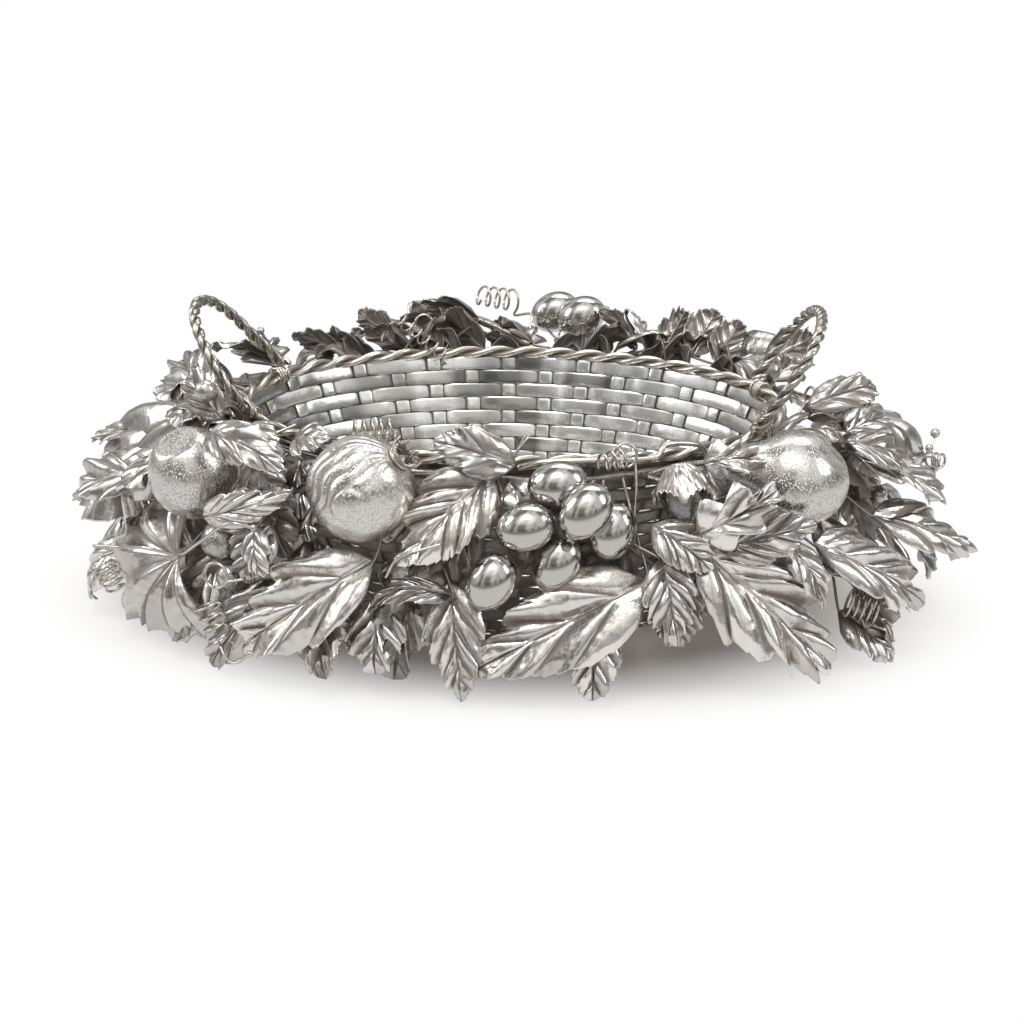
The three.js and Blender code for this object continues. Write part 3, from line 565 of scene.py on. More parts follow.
def weave_strips():
    """Level strips. On each side of the wall they show as runs that pass over one stake and dive
    under its neighbours."""
    bm = new_bmesh()
    for row in range(WEAVE_ROWS):
        verts, u, v = new_grid(bm, STAKES * 10, 12)
        side, thick = section(v)
        inner = thick < 0
        phase = (u + 1) / 2 * STAKES
        centre = bowl_turns(phase / STAKES)
        place = phase + row + inner
        run = np.rint(place / 2).astype(int)
        along = place - 2 * run
        run = run % RUNS
        tilt, slope, turn = RUN_LEAN[row, run].T
        shown = 1 - smoothstep(0.62, 0.84, np.abs(along))
        lift = WEAVE_LIFT * weave_wave(phase + row) + STRIP_THICKNESS / 2 * thick
        swell = 0.16 * (1 - side**2) * thick
        lift = lift + shown * (0.1 * tilt * side + 0.18 * slope * along + swell)
        narrow = 1 - 0.22 * smoothstep(0.56, 0.84, np.abs(along)) * np.abs(thick)
        height = WALL_FOOT + ROW_PITCH * (row + 0.5) + STRIP_WIDTH / 2 * side * narrow
        put(verts, bowl_place(centre, height, lift))
        edge = smoothstep(0.75, 1.0, np.abs(side)) * 0.4
        dive = smoothstep(0.68, 0.82, np.abs(along)) * 0.6
        # The outer side of each strip gets painted shade, for the garland's shadow on the wall
        mark(bm, verts, "recess", np.maximum(edge, dive) + OUTER_SHADE * (thick > 0.1))
        # Painted reflection: the bright columns on the inside, and a sharp step and a slope of tone
        # along each run
        step = np.tanh(6 * (along - 0.5 * slope))
        reflection = 0.75 * painted_reflection_at(centre) * inner
        tone = 0.72 * RUN_TONE[row, run] + reflection + turn * (0.24 * step + 0.12 * along)
        mark(bm, verts, "tone", np.clip(tone, 0.05, 1.15))
        close_seams(bm, verts)
    finish_piece("weave_strips", bm, "woven_silver", ["basket_wall"])


def weave_stakes():
    """The upright stakes that the strips go round."""
    bm = new_bmesh()
    for stake in range(STAKES):
        verts, u, v = new_grid(bm, 12, WEAVE_ROWS * 6)
        side, thick = section((u + 1) / 2)
        row_phase = v * WEAVE_ROWS
        row = np.minimum(row_phase.astype(int), WEAVE_ROWS - 1)
        local = row_phase - row - 0.5
        lift = -STAKE_LIFT * flattened(np.cos(math.pi * (row_phase - 0.5 + stake)))
        lift = lift + (STRIP_THICKNESS / 2 + 0.14 * (1 - side**2)) * thick
        centre = bowl_turns(stake / STAKES)
        a, b = lerp(FOOT_A, RIM_A, v), lerp(FOOT_B, RIM_B, v)
        pace = np.hypot(a * np.sin(centre), b * np.cos(centre))
        turn = centre + side * STAKE_WIDTH * lerp(0.9, 1.0, v) / 2 / pace
        put(verts, bowl_place(turn, lerp(WALL_FOOT, WALL_TOP, v), lift))
        edge = smoothstep(0.7, 1.0, np.abs(side)) * 0.4
        dive = smoothstep(0.34, 0.46, np.abs(local)) * 0.7
        # The outer side of each stake gets painted shade, for the garland's shadow on the wall
        mark(bm, verts, "recess", np.maximum(edge, dive) + OUTER_SHADE * (thick > 0.1))
        # Painted light: each stake is lighter towards one side, and inside the back wall it takes
        # the painted reflection
        tone = STAKE_TONE[row, stake] - 0.1 + 0.2 * smoothstep(0.2, 0.8, side)
        mark(bm, verts, "tone", tone + 0.5 * painted_reflection_at(turn) * (thick < 0))
        close_seams(bm, verts)
    finish_piece("weave_stakes", bm, "woven_silver")


def bowl_floor():
    """The base: a plate, and flat strips that weave on it in both directions."""
    base_sheet()
    bm = new_bmesh()
    ways = [(BASE_WEAVE_A, BASE_WEAVE_B), (BASE_WEAVE_B, BASE_WEAVE_A)]
    for way, (length, width) in enumerate(ways):
        count = int(width / BASE_PITCH)
        for step in range(-count, count + 1):
            middle = step * BASE_PITCH
            half = length * math.sqrt(max(1 - (middle / width) ** 2, 0))
            if half < BASE_PITCH:
                continue
            cells = max(int(half * 2 / BASE_PITCH * 6), 6)
            verts, u, v = new_grid(bm, cells, 3)
            along = u * half
            side = 2 * v - 1
            phase = along / BASE_PITCH
            wave = np.tanh(2.4 * np.cos(math.pi * (phase + step + way)))
            lift = BASE_STRIP_HEIGHT + BASE_STRIP_LIFT * wave + 0.1 * (1 - side**2)
            across = middle + side * (BASE_PITCH - BASE_GAP) / 2
            flat = (across, along) if way else (along, across)
            put(verts, np.stack([*flat, lift], axis=1))
            cell = np.rint(phase).astype(int)
            mark(bm, verts, "tone", RUN_TONE[(step + 40) % WEAVE_ROWS, (cell + 40) % RUNS])
            dark = 0.35 * smoothstep(0.7, 1, np.abs(side)) + 0.5 * (wave < -0.5)
            mark(bm, verts, "recess", dark)
    finish_piece("base_weave", bm, "woven_silver", sheet=BASE_SHEET, close=False)


def base_sheet():
    """The flat oval plate, with its edge rounded off."""
    bm = new_bmesh()
    plate = bmesh.ops.create_circle(bm, cap_ends=True, segments=96, radius=1)["verts"]
    spots = np.array([vert.co[:] for vert in plate])
    put(plate, spots * [BASE_A, BASE_B, 0.0])
    raised = bmesh.ops.extrude_face_region(bm, geom=bm.faces[:])["geom"]
    top = [item for item in raised if isinstance(item, bmesh.types.BMVert)]
    bmesh.ops.translate(bm, verts=top, vec=(0, 0, BASE_THICKNESS * MM))
    bmesh.ops.bevel(bm, geom=[e for e in bm.edges if e.calc_face_angle(0) > 1],
                    offset=BASE_EDGE * MM, segments=2, profile=0.5, affect="EDGES", material=-1)
    mark(bm, bm.verts, "tone", 0.45)
    mark(bm, bm.verts, "recess", 0.1)
    finish_piece("base_sheet", bm, "woven_silver", ["base_plate"])


# Rim and handles

# Rim: how often its two strands go round each other, and in how many places they are drawn
RIM_LAYS = 21
RIM_PLACES = 960
# Handles: a wire's radius, half the turn between the two wires of a pair, the length of one lay,
# and how far the wires spread at a foot
HANDLE_WIRE = 1.55
PAIR_SPLIT = math.radians(17)
HANDLE_LAY = 19.0
FOOT_SPREAD = 1.6
# The bend of each handle from its front foot to its back foot: how far aside, and up its slope
HANDLE_BEND = {
    "left": [(-47, 4.6), (-52, 20), (-51.5, 34), (-46, 48), (-38, 59), (-27, 67.5), (-13, 71.5),
             (1, 70), (12, 65), (21, 57), (28, 47), (33, 36), (39, 24), (44, 13), (47, 4.6)],
    "right": [(-47, 4.6), (-52, 15), (-55.5, 28), (-55, 42), (-51, 55), (-42, 65), (-28, 70),
              (-12, 71.4), (5, 69.5), (21, 65), (35, 57), (45, 46), (51, 34), (52.5, 21), (50, 12),
              (47, 4.6)],
}


def rim_rope():
    """Two thick strands, laid round each other without an end."""
    bm = new_bmesh()
    share = np.arange(RIM_PLACES) / RIM_PLACES
    angle = np.degrees(bowl_turns(share))
    path = by_rim(angle, 0.0, 0.0)
    level = outward(angle)
    for wire in range(2):
        lay = 2 * math.pi * (RIM_LAYS * share + wire / 2)
        centre = path + ROPE_RADIUS / 2 * turned(level, UP, lay)
        tangent = unit(np.roll(centre, -1, axis=0) - np.roll(centre, 1, axis=0))
        side = unit(level - tangent * np.sum(level * tangent, axis=1, keepdims=True))
        third = np.cross(tangent, side)
        verts, u, v = new_grid(bm, 14, RIM_PLACES)
        row = np.rint(v * RIM_PLACES).astype(int) % RIM_PLACES
        skin = turned(side[row], third[row], (u + 1) * math.pi)
        places = centre[row] + ROPE_RADIUS / 2 * skin
        put(verts, places)
        mark(bm, verts, "recess", rope_shade(places, path[row], ROPE_RADIUS))
        mark(bm, verts, "tone", 0.6 + 0.15 * wire)
        close_seams(bm, verts)
    finish_piece("rim_rope_wires", bm, "rope_silver", ["rim_rope"])


FOOT_TURN = math.asin(HANDLE_HALF / RIM_B)


def handle(name, end, lean):
    """Two pairs of wires, laid round each other along a bend that leans out. They spread at the
    feet."""
    bm = new_bmesh()
    lean = math.radians(lean)
    foot = end * RIM_A * math.cos(FOOT_TURN)
    bend = [(foot + end * math.sin(lean) * reach, aside, RIM_HEIGHT + math.cos(lean) * reach)
            for aside, reach in HANDLE_BEND[name]]
    path = smooth_path(bend, 330)
    side, third = frames(path)
    share = np.linspace(0, 1, len(path))
    to_foot = np.minimum(share, 1 - share)
    splay = smoothstep(0.07, 0.0, to_foot)
    tight = 0.85 + 0.15 * smoothstep(0.08, 0.35, to_foot)
    steps = np.linalg.norm(np.diff(path, axis=0, append=path[-1:]), axis=1)
    turns = np.concatenate([[0], np.cumsum(steps * tight)[:-1]]) / HANDLE_LAY
    spread = HANDLE_RADIUS - HANDLE_WIRE + FOOT_SPREAD * splay
    for pair in (0, 1):
        for split in (-PAIR_SPLIT, PAIR_SPLIT):
            turn = 2 * math.pi * (turns + pair / 2) + split * (1 + 0.5 * splay)
            centre = path + spread[:, None] * turned(side, third, turn)
            tube(bm, centre, HANDLE_WIRE, 9, tone=0.28 + 0.15 * pair, core=path,
                 reach=HANDLE_RADIUS)
    finish_piece("handle_%s_wires" % name, bm, "rope_silver", ["handle_" + name])


# Bindings: their wire's radius, the gap between it and the rim, how far they run along the rim,
# their turns, and where they start beside a handle's foot
BINDING_WIRE = 0.75
BINDING_GAP = 0.45
BINDING_RUN = 9.5
BINDING_TURNS = 3.6
BINDING_START = HANDLE_RADIUS + 2 * BINDING_WIRE + 0.3


def bindings():
    """A wire wound round the rim beside each foot of the handles."""
    foot_angle = math.degrees(FOOT_TURN)
    for end_name, end in (("left", -1), ("right", 1)):
        for side_name, side in (("front", -1), ("back", 1)):
            bm = new_bmesh()
            foot = side * (foot_angle if end > 0 else 180 - foot_angle)
            at_foot = math.radians(foot)
            speed = math.hypot(RIM_A * math.sin(at_foot), RIM_B * math.cos(at_foot))
            steps = np.linspace(0, 1, 4 * 24)
            angle = foot - side * end * np.degrees(BINDING_START + BINDING_RUN * steps) / speed
            turn = steps * BINDING_TURNS * 2 * math.pi + math.pi / 2
            swell = 1 + 0.07 * np.sin(turn * 0.37 + 1)
            radius = (ROPE_RADIUS + BINDING_GAP + BINDING_WIRE) * swell
            path = by_rim(angle, 0.0, 0.0) + radius[:, None] * turned(outward(angle), UP, turn)
            tube(bm, path, BINDING_WIRE, 8, tone=0.6)
            corner = "%s_%s" % (end_name, side_name)
            finish_piece("binding_wire_" + corner, bm, "rope_silver", ["binding_" + corner])


# Leaves

def bump_curve(share, early, fullness):
    """From 0 up and back to 0, with its top early and its sides full or lean."""
    return np.maximum(np.sin(math.pi * np.clip(share, 0, 1) ** early), 0) ** fullness


def leaf_outline(kind, share):
    """A leaf's half width at a share of its length, as a share of its widest."""
    if kind == "lobed":
        lobes = 1 - np.cos(2 * math.pi * (share * 2.6 - 0.5))
        return bump_curve(share, 0.6, 0.55) * (1 - 0.28 * lobes)
    return bump_curve(share, 0.72, 0.75)


def leaf_frame(form):
    """A leaf's rib as three points that bend it, and the way that its upper side faces."""
    base, tip = np.array(form["base"]), np.array(form["tip"])
    tilt = math.radians(form.get("tilt", 45))
    facing = outward(float(form["angle"])) * math.cos(tilt) + UP * math.sin(tilt)
    middle = (base + tip) / 2 + facing * 2 * form.get("bow", LEAF_BOW)
    return base, middle, tip, facing


def rib_place(base, middle, tip, t):
    t = t[:, None]
    return (1 - t) ** 2 * base + 2 * t * (1 - t) * middle + t**2 * tip


def rib_along(base, middle, tip, t):
    t = t[:, None]
    return unit(2 * (1 - t) * (middle - base) + 2 * t * (tip - middle))


def uneven(count, dice, vary=0.35):
    """Places from 0 to 1 that are unevenly spaced, as the veins of a leaf are."""
    widths = dice.uniform(1 - vary, 1 + vary, count)
    return np.concatenate([[0], np.cumsum(widths)]) / widths.sum()


DENT_PITCH = 6.0


def hammered(across, along, dice):
    """Shallow dents, as a share of their depth, over a surface with these millimetres across and
    along."""
    total = 0.0
    for _ in range(6):
        way, start = dice.uniform(0, 2 * math.pi, 2)
        pitch = 2 * math.pi / (DENT_PITCH * dice.uniform(0.8, 1.7))
        total = total + np.sin(pitch * (across * math.cos(way) + along * math.sin(way)) + start)
    return total / 3


def veined_leaf(bm, form, columns, rows, seed):
    """A serrated leaf. Its side veins sweep forward from near its base, unevenly spaced, and the
    sheet is puffed up between them and sharply creased along them."""
    dice = np.random.default_rng(seed)
    base, middle, tip, facing = leaf_frame(form)
    half = form["width"] / 2
    length = float(np.linalg.norm(tip - base))
    veins = form.get("veins", 4 + seed % 2)
    verts, u, v = new_grid(bm, columns, rows)
    aside = np.abs(u)
    left = u < 0
    # The rows sweep forward from the rib to the edge, and each lies between two veins
    edge_t = v ** 0.46
    t = lerp(v ** 1.35, edge_t, aside ** 0.85)
    knots = [uneven(veins, dice), uneven(veins, dice)]
    steps = np.arange(veins + 1.0)
    phase = np.where(left, np.interp(v, knots[0], steps), np.interp(v, knots[1], steps))
    pillow = np.minimum(phase.astype(int), veins - 1)
    inside = phase - pillow
    side_index = left.astype(int)
    # The edge: a large tooth at the end of each vein, with small ones between
    small = (phase * 3) % 1
    depth = form.get("teeth", 0.12) * dice.uniform(0.4, 1.5, (2, veins))[side_index, pillow]
    tooth = np.where(inside < 0.72, inside / 0.72, (1 - inside) / 0.28)
    notch = 1 - depth * (1 - tooth) - 0.055 * (1 - small)
    reach = half * leaf_outline(form.get("kind", "toothed"), edge_t) * lerp(1.0, notch, aside ** 3)
    reach = np.maximum(reach, 0.35 + 0.8 * (1 - v))
    place = rib_place(base, middle, tip, t)
    along = rib_along(base, middle, tip, t)
    across = unit(np.cross(along, facing))
    normal = np.cross(across, along)
    twist = (form.get("twist", dice.uniform(-0.4, 0.4)) * (v - 0.3))[:, None]
    across, normal = across * np.cos(twist) + normal * np.sin(twist), (
        normal * np.cos(twist) - across * np.sin(twist))
    # The rise: pillows between the veins, a fold along the rib, and a wavy edge
    taper = np.clip(np.sin(math.pi * np.clip(v, 0, 1)) * 1.8, 0, 1)
    forward = half * (depth * tooth + 0.05 * small) * aside ** 4 * taper
    puff = form.get("puff", 1.0) * min(half, 26) * 0.14
    crest = np.sin(math.pi * inside ** 0.85) ** 0.6
    lean = dice.uniform(-1, 1, (2, veins))[side_index, pillow] * (inside - 0.5)
    band = smoothstep(0.0, 0.25, aside) * (1 - 0.5 * smoothstep(0.75, 1.0, aside))
    relief = puff * (crest - 0.5 + 0.7 * lean) * band * taper
    fold = reach * (0.62 * aside - 0.6 * aside ** 2)
    ruffle = form.get("ruffle", 0.13) * half * aside ** 2.2 * (
        np.sin(2 * math.pi * (v * 1.9 + dice.uniform(0, 1)) + 2.1 * np.sign(u))
        + 0.6 * np.sin(2 * math.pi * (v * 3.7 + dice.uniform(0, 1)) + 1.2 * np.sign(u)))
    crumple = 0.022 * length * np.sin(u * 2.6 + v * 5 + dice.uniform(0, 6)) * np.sin(
        v * 7 + dice.uniform(0, 6))
    curl = dice.uniform(-0.1, 0.12) * length * smoothstep(0.55, 1.0, v) ** 2
    rib_gap = aside * reach
    rib = 0.8 * np.exp(-((rib_gap - 1.0) / 0.6) ** 2) * (1 - 0.7 * v)
    groove = np.exp(-(rib_gap / 0.5) ** 2)
    crease = np.minimum(inside, 1 - inside) * length / veins * (0.5 + 0.5 * aside)
    valley = np.exp(-(crease / 0.55) ** 2)
    valley = valley * smoothstep(0.03, 0.12, aside) * (1 - smoothstep(0.88, 1.0, aside))
    dents = hammered(u * reach, t * length, dice)
    rise = fold + relief + rib + (ruffle + crumple) * taper + curl
    rise = rise - 0.3 * groove + 0.1 * dents * band
    put(verts, place + across * (u * reach)[:, None] + along * forward[:, None]
        + normal * rise[:, None])
    # Dark in the grooves, and painted shade, both darker and lower in tone, on the side of each
    # pillow that looks down
    blot = dice.uniform(-0.25, 0.3, (2, veins))[side_index, pillow]
    lower = smoothstep(0.4, 0.95, inside) * band * taper
    dark = np.maximum(0.6 * groove, 0.8 * valley) + 0.2 * (1 - crest) * band
    dark = dark + 0.5 * blot * (1 - crest * 0.4) + 0.42 * lower
    dark = dark + 0.3 * smoothstep(0.25, 0.0, v) - 0.08 * dents - 0.04
    mark(bm, verts, "recess", np.clip(dark + form.get("dark", 0.0), -0.4, 1.5))
    tone = form.get("tone", dice.uniform(0.5, 0.85))
    tone = tone + dice.uniform(-0.3, 0.25, (2, veins))[side_index, pillow]
    mark(bm, verts, "tone", tone - 0.12 * lower + 0.05 * dents)
    close_seams(bm, verts, LEAF_SEAM)


def fan_leaf(bm, form, columns, rows, seed):
    """A pleated leaf: ribs spread from its base to pointed, toothed lobes, as on a vine leaf."""
    dice = np.random.default_rng(seed)
    base, _, tip, facing = leaf_frame(form)
    length = float(np.linalg.norm(tip - base))
    half = form["width"] / 2
    verts, u, v = new_grid(bm, columns, rows)
    spread = math.radians(form.get("spread", 100))
    ribs = form.get("ribs", 7)
    phase = np.interp((u + 1) / 2, uneven(ribs, dice, 0.25), np.arange(ribs + 1.0))
    lobe = np.minimum(phase.astype(int), ribs - 1)
    inside = phase - lobe
    crest = 1 - np.abs(2 * inside - 1)
    turn = u * spread
    size = lerp(1.0, half / length * 1.15, smoothstep(0.1, 1.35, np.abs(turn)))
    size = size * dice.uniform(0.86, 1.06, ribs)[lobe]
    small = np.abs(((inside * 4) % 1) - 0.5) * 2
    outline = 1 - form.get("notch", 0.25) * (1 - crest ** 0.75) - form.get("teeth", 0.07) * small
    reach = length * size * lerp(1.0, outline, smoothstep(0.1, 1.0, v))
    radius = v * reach
    chord = unit(tip - base)
    across = unit(np.cross(chord, facing))
    normal = np.cross(across, chord)
    arc = radius * 2 * spread / ribs
    pleat = form.get("puff", 1.0) * 0.34 * np.minimum(arc, 16) * (crest ** 1.2 - 0.4)
    tilt = 0.12 * np.minimum(arc, 14) * dice.uniform(-1, 1, ribs)[lobe] * (inside - 0.5)
    bow = 2 * form.get("bow", LEAF_BOW) * 2 * v * (1 - v) * (1 - 0.3 * np.abs(u))
    droop = -form.get("droop", 0.22) * length * v**2 * np.abs(np.sin(turn)) ** 1.3
    hang = -form.get("hang", 0.06) * length * v**3
    ruffle = 0.04 * length * v**3 * np.sin(phase * 2.3 + dice.uniform(0, 6))
    dents = hammered(radius * np.cos(turn), radius * np.sin(turn), dice)
    rise = pleat + tilt + bow + droop + hang + ruffle + 0.1 * dents * smoothstep(0.1, 0.4, v)
    put(verts, base + radius[:, None] * turned(chord, across, turn) + normal * rise[:, None])
    rib_gap = np.abs(inside - 0.5) * arc
    valley_gap = np.minimum(inside, 1 - inside) * arc
    line = np.exp(-((rib_gap - 0.9) / 0.45) ** 2)
    valley = np.exp(-(valley_gap / 0.8) ** 2) * smoothstep(0.02, 0.2, v)
    blot = dice.uniform(-0.25, 0.3, ribs)[lobe]
    # Painted shade on the side of each pleat that looks down
    lower = smoothstep(0.5, 0.95, inside) * smoothstep(0.1, 0.4, v)
    dark = 0.85 * valley + 0.45 * line * smoothstep(0.05, 0.2, v) + 0.2 * (1 - crest)
    dark = dark + 0.5 * blot + 0.3 * lower
    dark = dark + 0.3 * smoothstep(0.25, 0.0, v) - 0.08 * dents - 0.1
    mark(bm, verts, "recess", np.clip(dark + form.get("dark", 0.0), -0.4, 1.5))
    tone = form.get("tone", dice.uniform(0.5, 0.8)) + dice.uniform(-0.22, 0.18, ribs)[lobe]
    mark(bm, verts, "tone", tone + 0.05 * dents)
    close_seams(bm, verts, LEAF_SEAM)


def stalk(bm, start, form):
    """A wire that runs from the vine or a fork to a leaf and on below its rib."""
    base, middle, tip, facing = leaf_frame(form)
    bend = lerp(np.array(start), base, 0.55) + facing * 3
    under = rib_place(base, middle, tip, np.array([0.12, 0.24]))
    path = smooth_path([start, bend, base, *(under - facing * 0.7)], 26)
    tube(bm, path, np.linspace(1.05, 0.75, 26), 8, tone=0.5)


def leaf(base, tip, angle, width, tip_by=by_rim, **more):
    """A leaf's form: base and tip as angle, out and rise by the rim, the side that it faces and its
    width. More may give its tilt, bow, kind, veins, ribs, teeth, notches, puff, ruffle, twist, tone
    and dark, and say that it is a fan, a fine one in front, or held against a fruit."""
    return dict(base=by_rim(*base), tip=tip_by(*tip), angle=angle, width=width, **more)


def low_leaf(base, tip, angle, width, **more):
    """The same with its tip by the table."""
    return leaf(base, tip, angle, width, by_table, **more)


# The bed: rows of plainer leaves that fill the garland from its crown down to the table, as in the
# solids. Each row has a whole number of leaves to the oval, from base to tip, both as out and
# height: a base goes by the rim, and a tip by the rim or by the table. The last rows are small ones
# behind the fruit in front, where the solids have none.
# Leaves stand off their even places by the sway, and turn aside by the turn, both in degrees.
# Their reach varies by the share vary.
BED_SWAY = 4
BED_TURN = 11
BED_VARY = 0.06
BED_ROWS = {
    "crown": dict(count=16, shift=0, base=(14, 2), tip=(56, 4), by=by_rim, width=40, tilt=60),
    "upper": dict(count=17, shift=0.5, base=(24, -12), tip=(88, -36), by=by_rim, width=46, tilt=48),
    "lower": dict(count=18, shift=0, base=(30, -46), tip=(91.8, 12.3), by=by_table, width=50,
                  tilt=24),
    "behind": dict(count=26, shift=0.5, base=(12, -8), tip=(44, -44), by=by_rim, width=30, tilt=36),
    "under": dict(count=26, shift=0, base=(16, -44), tip=(62, 28), by=by_table, width=34, tilt=16),
}
BED = {
    "leaves_left_crown": [("crown", 172, 214)],
    "leaves_left_side": [("upper", 172, 214)],
    "leaves_left_low": [("lower", 172, 212)],
    "leaves_peach": [("behind", 214, 244)],
    "leaves_peach_low": [("lower", 212, 244)],
    "leaves_pomegranate": [("behind", 244, 280)],
    "leaves_pomegranate_low": [("lower", 244, 280)],
    "leaves_grapes_low": [("behind", 280, 293), ("under", 280, 304)],
    "leaves_pear": [("behind", 302, 330), ("under", 304, 330)],
    "leaves_right_crown": [("crown", 330, 372), ("upper", 330, 372)],
    "leaves_right_low": [("lower", 328, 372)],
    "leaves_back_right": [("crown", 12, 58), ("upper", 12, 58), ("lower", 12, 58)],
    "leaves_back_middle": [("crown", 58, 96), ("upper", 58, 98), ("lower", 58, 98)],
    "leaves_back_left": [("crown", 96, 136), ("upper", 98, 138), ("lower", 98, 138)],
    "leaves_back_end": [("crown", 136, 172), ("upper", 138, 172), ("lower", 138, 172)],
}


def spread_at(angle):
    """How far the garland spreads: fully at the two ends of the oval, less in front and behind."""
    return 0.6 + 0.4 * abs(math.cos(math.radians(angle))) ** 0.8


def bed_leaves(row, start, finish):
    """The leaves of a row that stand between two angles."""
    form = BED_ROWS[row]
    found = []
    for step in range(2 * form["count"]):
        order = step % form["count"]
        angle = (step + form["shift"]) * 360 / form["count"] + BED_SWAY * math.sin(2.4 * order)
        if not start <= angle < finish:
            continue
        turn = BED_TURN * math.sin(1.7 * order)
        spread = spread_at(angle)
        reach = spread * (1 - BED_VARY + BED_VARY * math.sin(3.1 * order))
        out_base, rise_base = form["base"]
        out_tip, tip_height = form["tip"]
        found.append(leaf((angle, out_base * (0.5 + spread / 2), rise_base),
                          (angle + turn, out_tip * reach, tip_height),
                          angle + turn / 2, form["width"], form["by"], tilt=form["tilt"],
                          kind="lobed" if order % 3 == 1 else "toothed", fan=order % 4 == 2,
                          tone=0.35 + 0.3 * (order * 0.618 % 1), dark=0.06))
    return found


# The hedge behind the rim: degrees between its leaves, and its stretch of each spray at the back
HEDGE_STEP = 6.5
HEDGE = {
    "leaves_back_right": (40, 58),
    "leaves_back_middle": (59, 98),
    "leaves_back_left": (99, 141),
}


def hedge_leaves(start, finish):
    """Small leaves, painted dark as shade, that stand close behind the rim and lean to one side
    and the other.
    """
    found = []
    for order, angle in enumerate(np.arange(start, finish, HEDGE_STEP)):
        tip = (angle + 9 * math.sin(2.3 * order + start), 20,
               9 + 5 * math.sin(1.9 * order + start))
        found.append(leaf((angle, 10, -8), tip, angle, 24, tilt=40, bow=3, veins=3, tone=0.2,
                          dark=0.4, held=True))
    return found


# Columns and rows of a leaf: a near one, the others, and those of the bed
FINE_GRID = (56, 88)
LEAF_GRID = (39, 62)
BED_GRID = (26, 42)
BED_FAN_GRID = (42, 20)


def spray(name, root, leaves, seed):
    """The leaves that grow from one place on the vine, with their stretch of the bed. The seed
    makes each leaf of its own."""
    bm = new_bmesh()
    stalks = new_bmesh()
    start = vine_point(float(root), VINE_RADIUS + 1.6)
    fork = lerp(start, np.array(leaves[0]["base"]), 0.35) + UP
    hedge = hedge_leaves(*HEDGE[name]) if name in HEDGE else []
    for index, form in enumerate(leaves + EXTRA_LEAVES.get(name, []) + hedge):
        make = fan_leaf if form.get("fan") else veined_leaf
        make(bm, form, *(FINE_GRID if form.get("fine") else LEAF_GRID), seed * 10 + index)
        if not form.get("held"):
            stalk(stalks, fork if index else start, form)
    bed = [form for stretch in BED.get(name, []) for form in bed_leaves(*stretch)]
    for index, form in enumerate(bed):
        if form["fan"]:
            fan_leaf(bm, form, *BED_FAN_GRID, seed * 100 + index)
        else:
            veined_leaf(bm, form, *BED_GRID, seed * 100 + index)
        stalk(stalks, fork, form)
    finish_piece(name + "_sheets", bm, "leaf_silver", [name], sheet=LEAF_SHEET, close=False)
    finish_piece(name + "_stalks", stalks, "stem_silver")


# Painted shade: a low tone and a high dark for leaves that stand where there is only shade, behind
# the fruit
SHADED = dict(tone=0.1, dark=0.4)
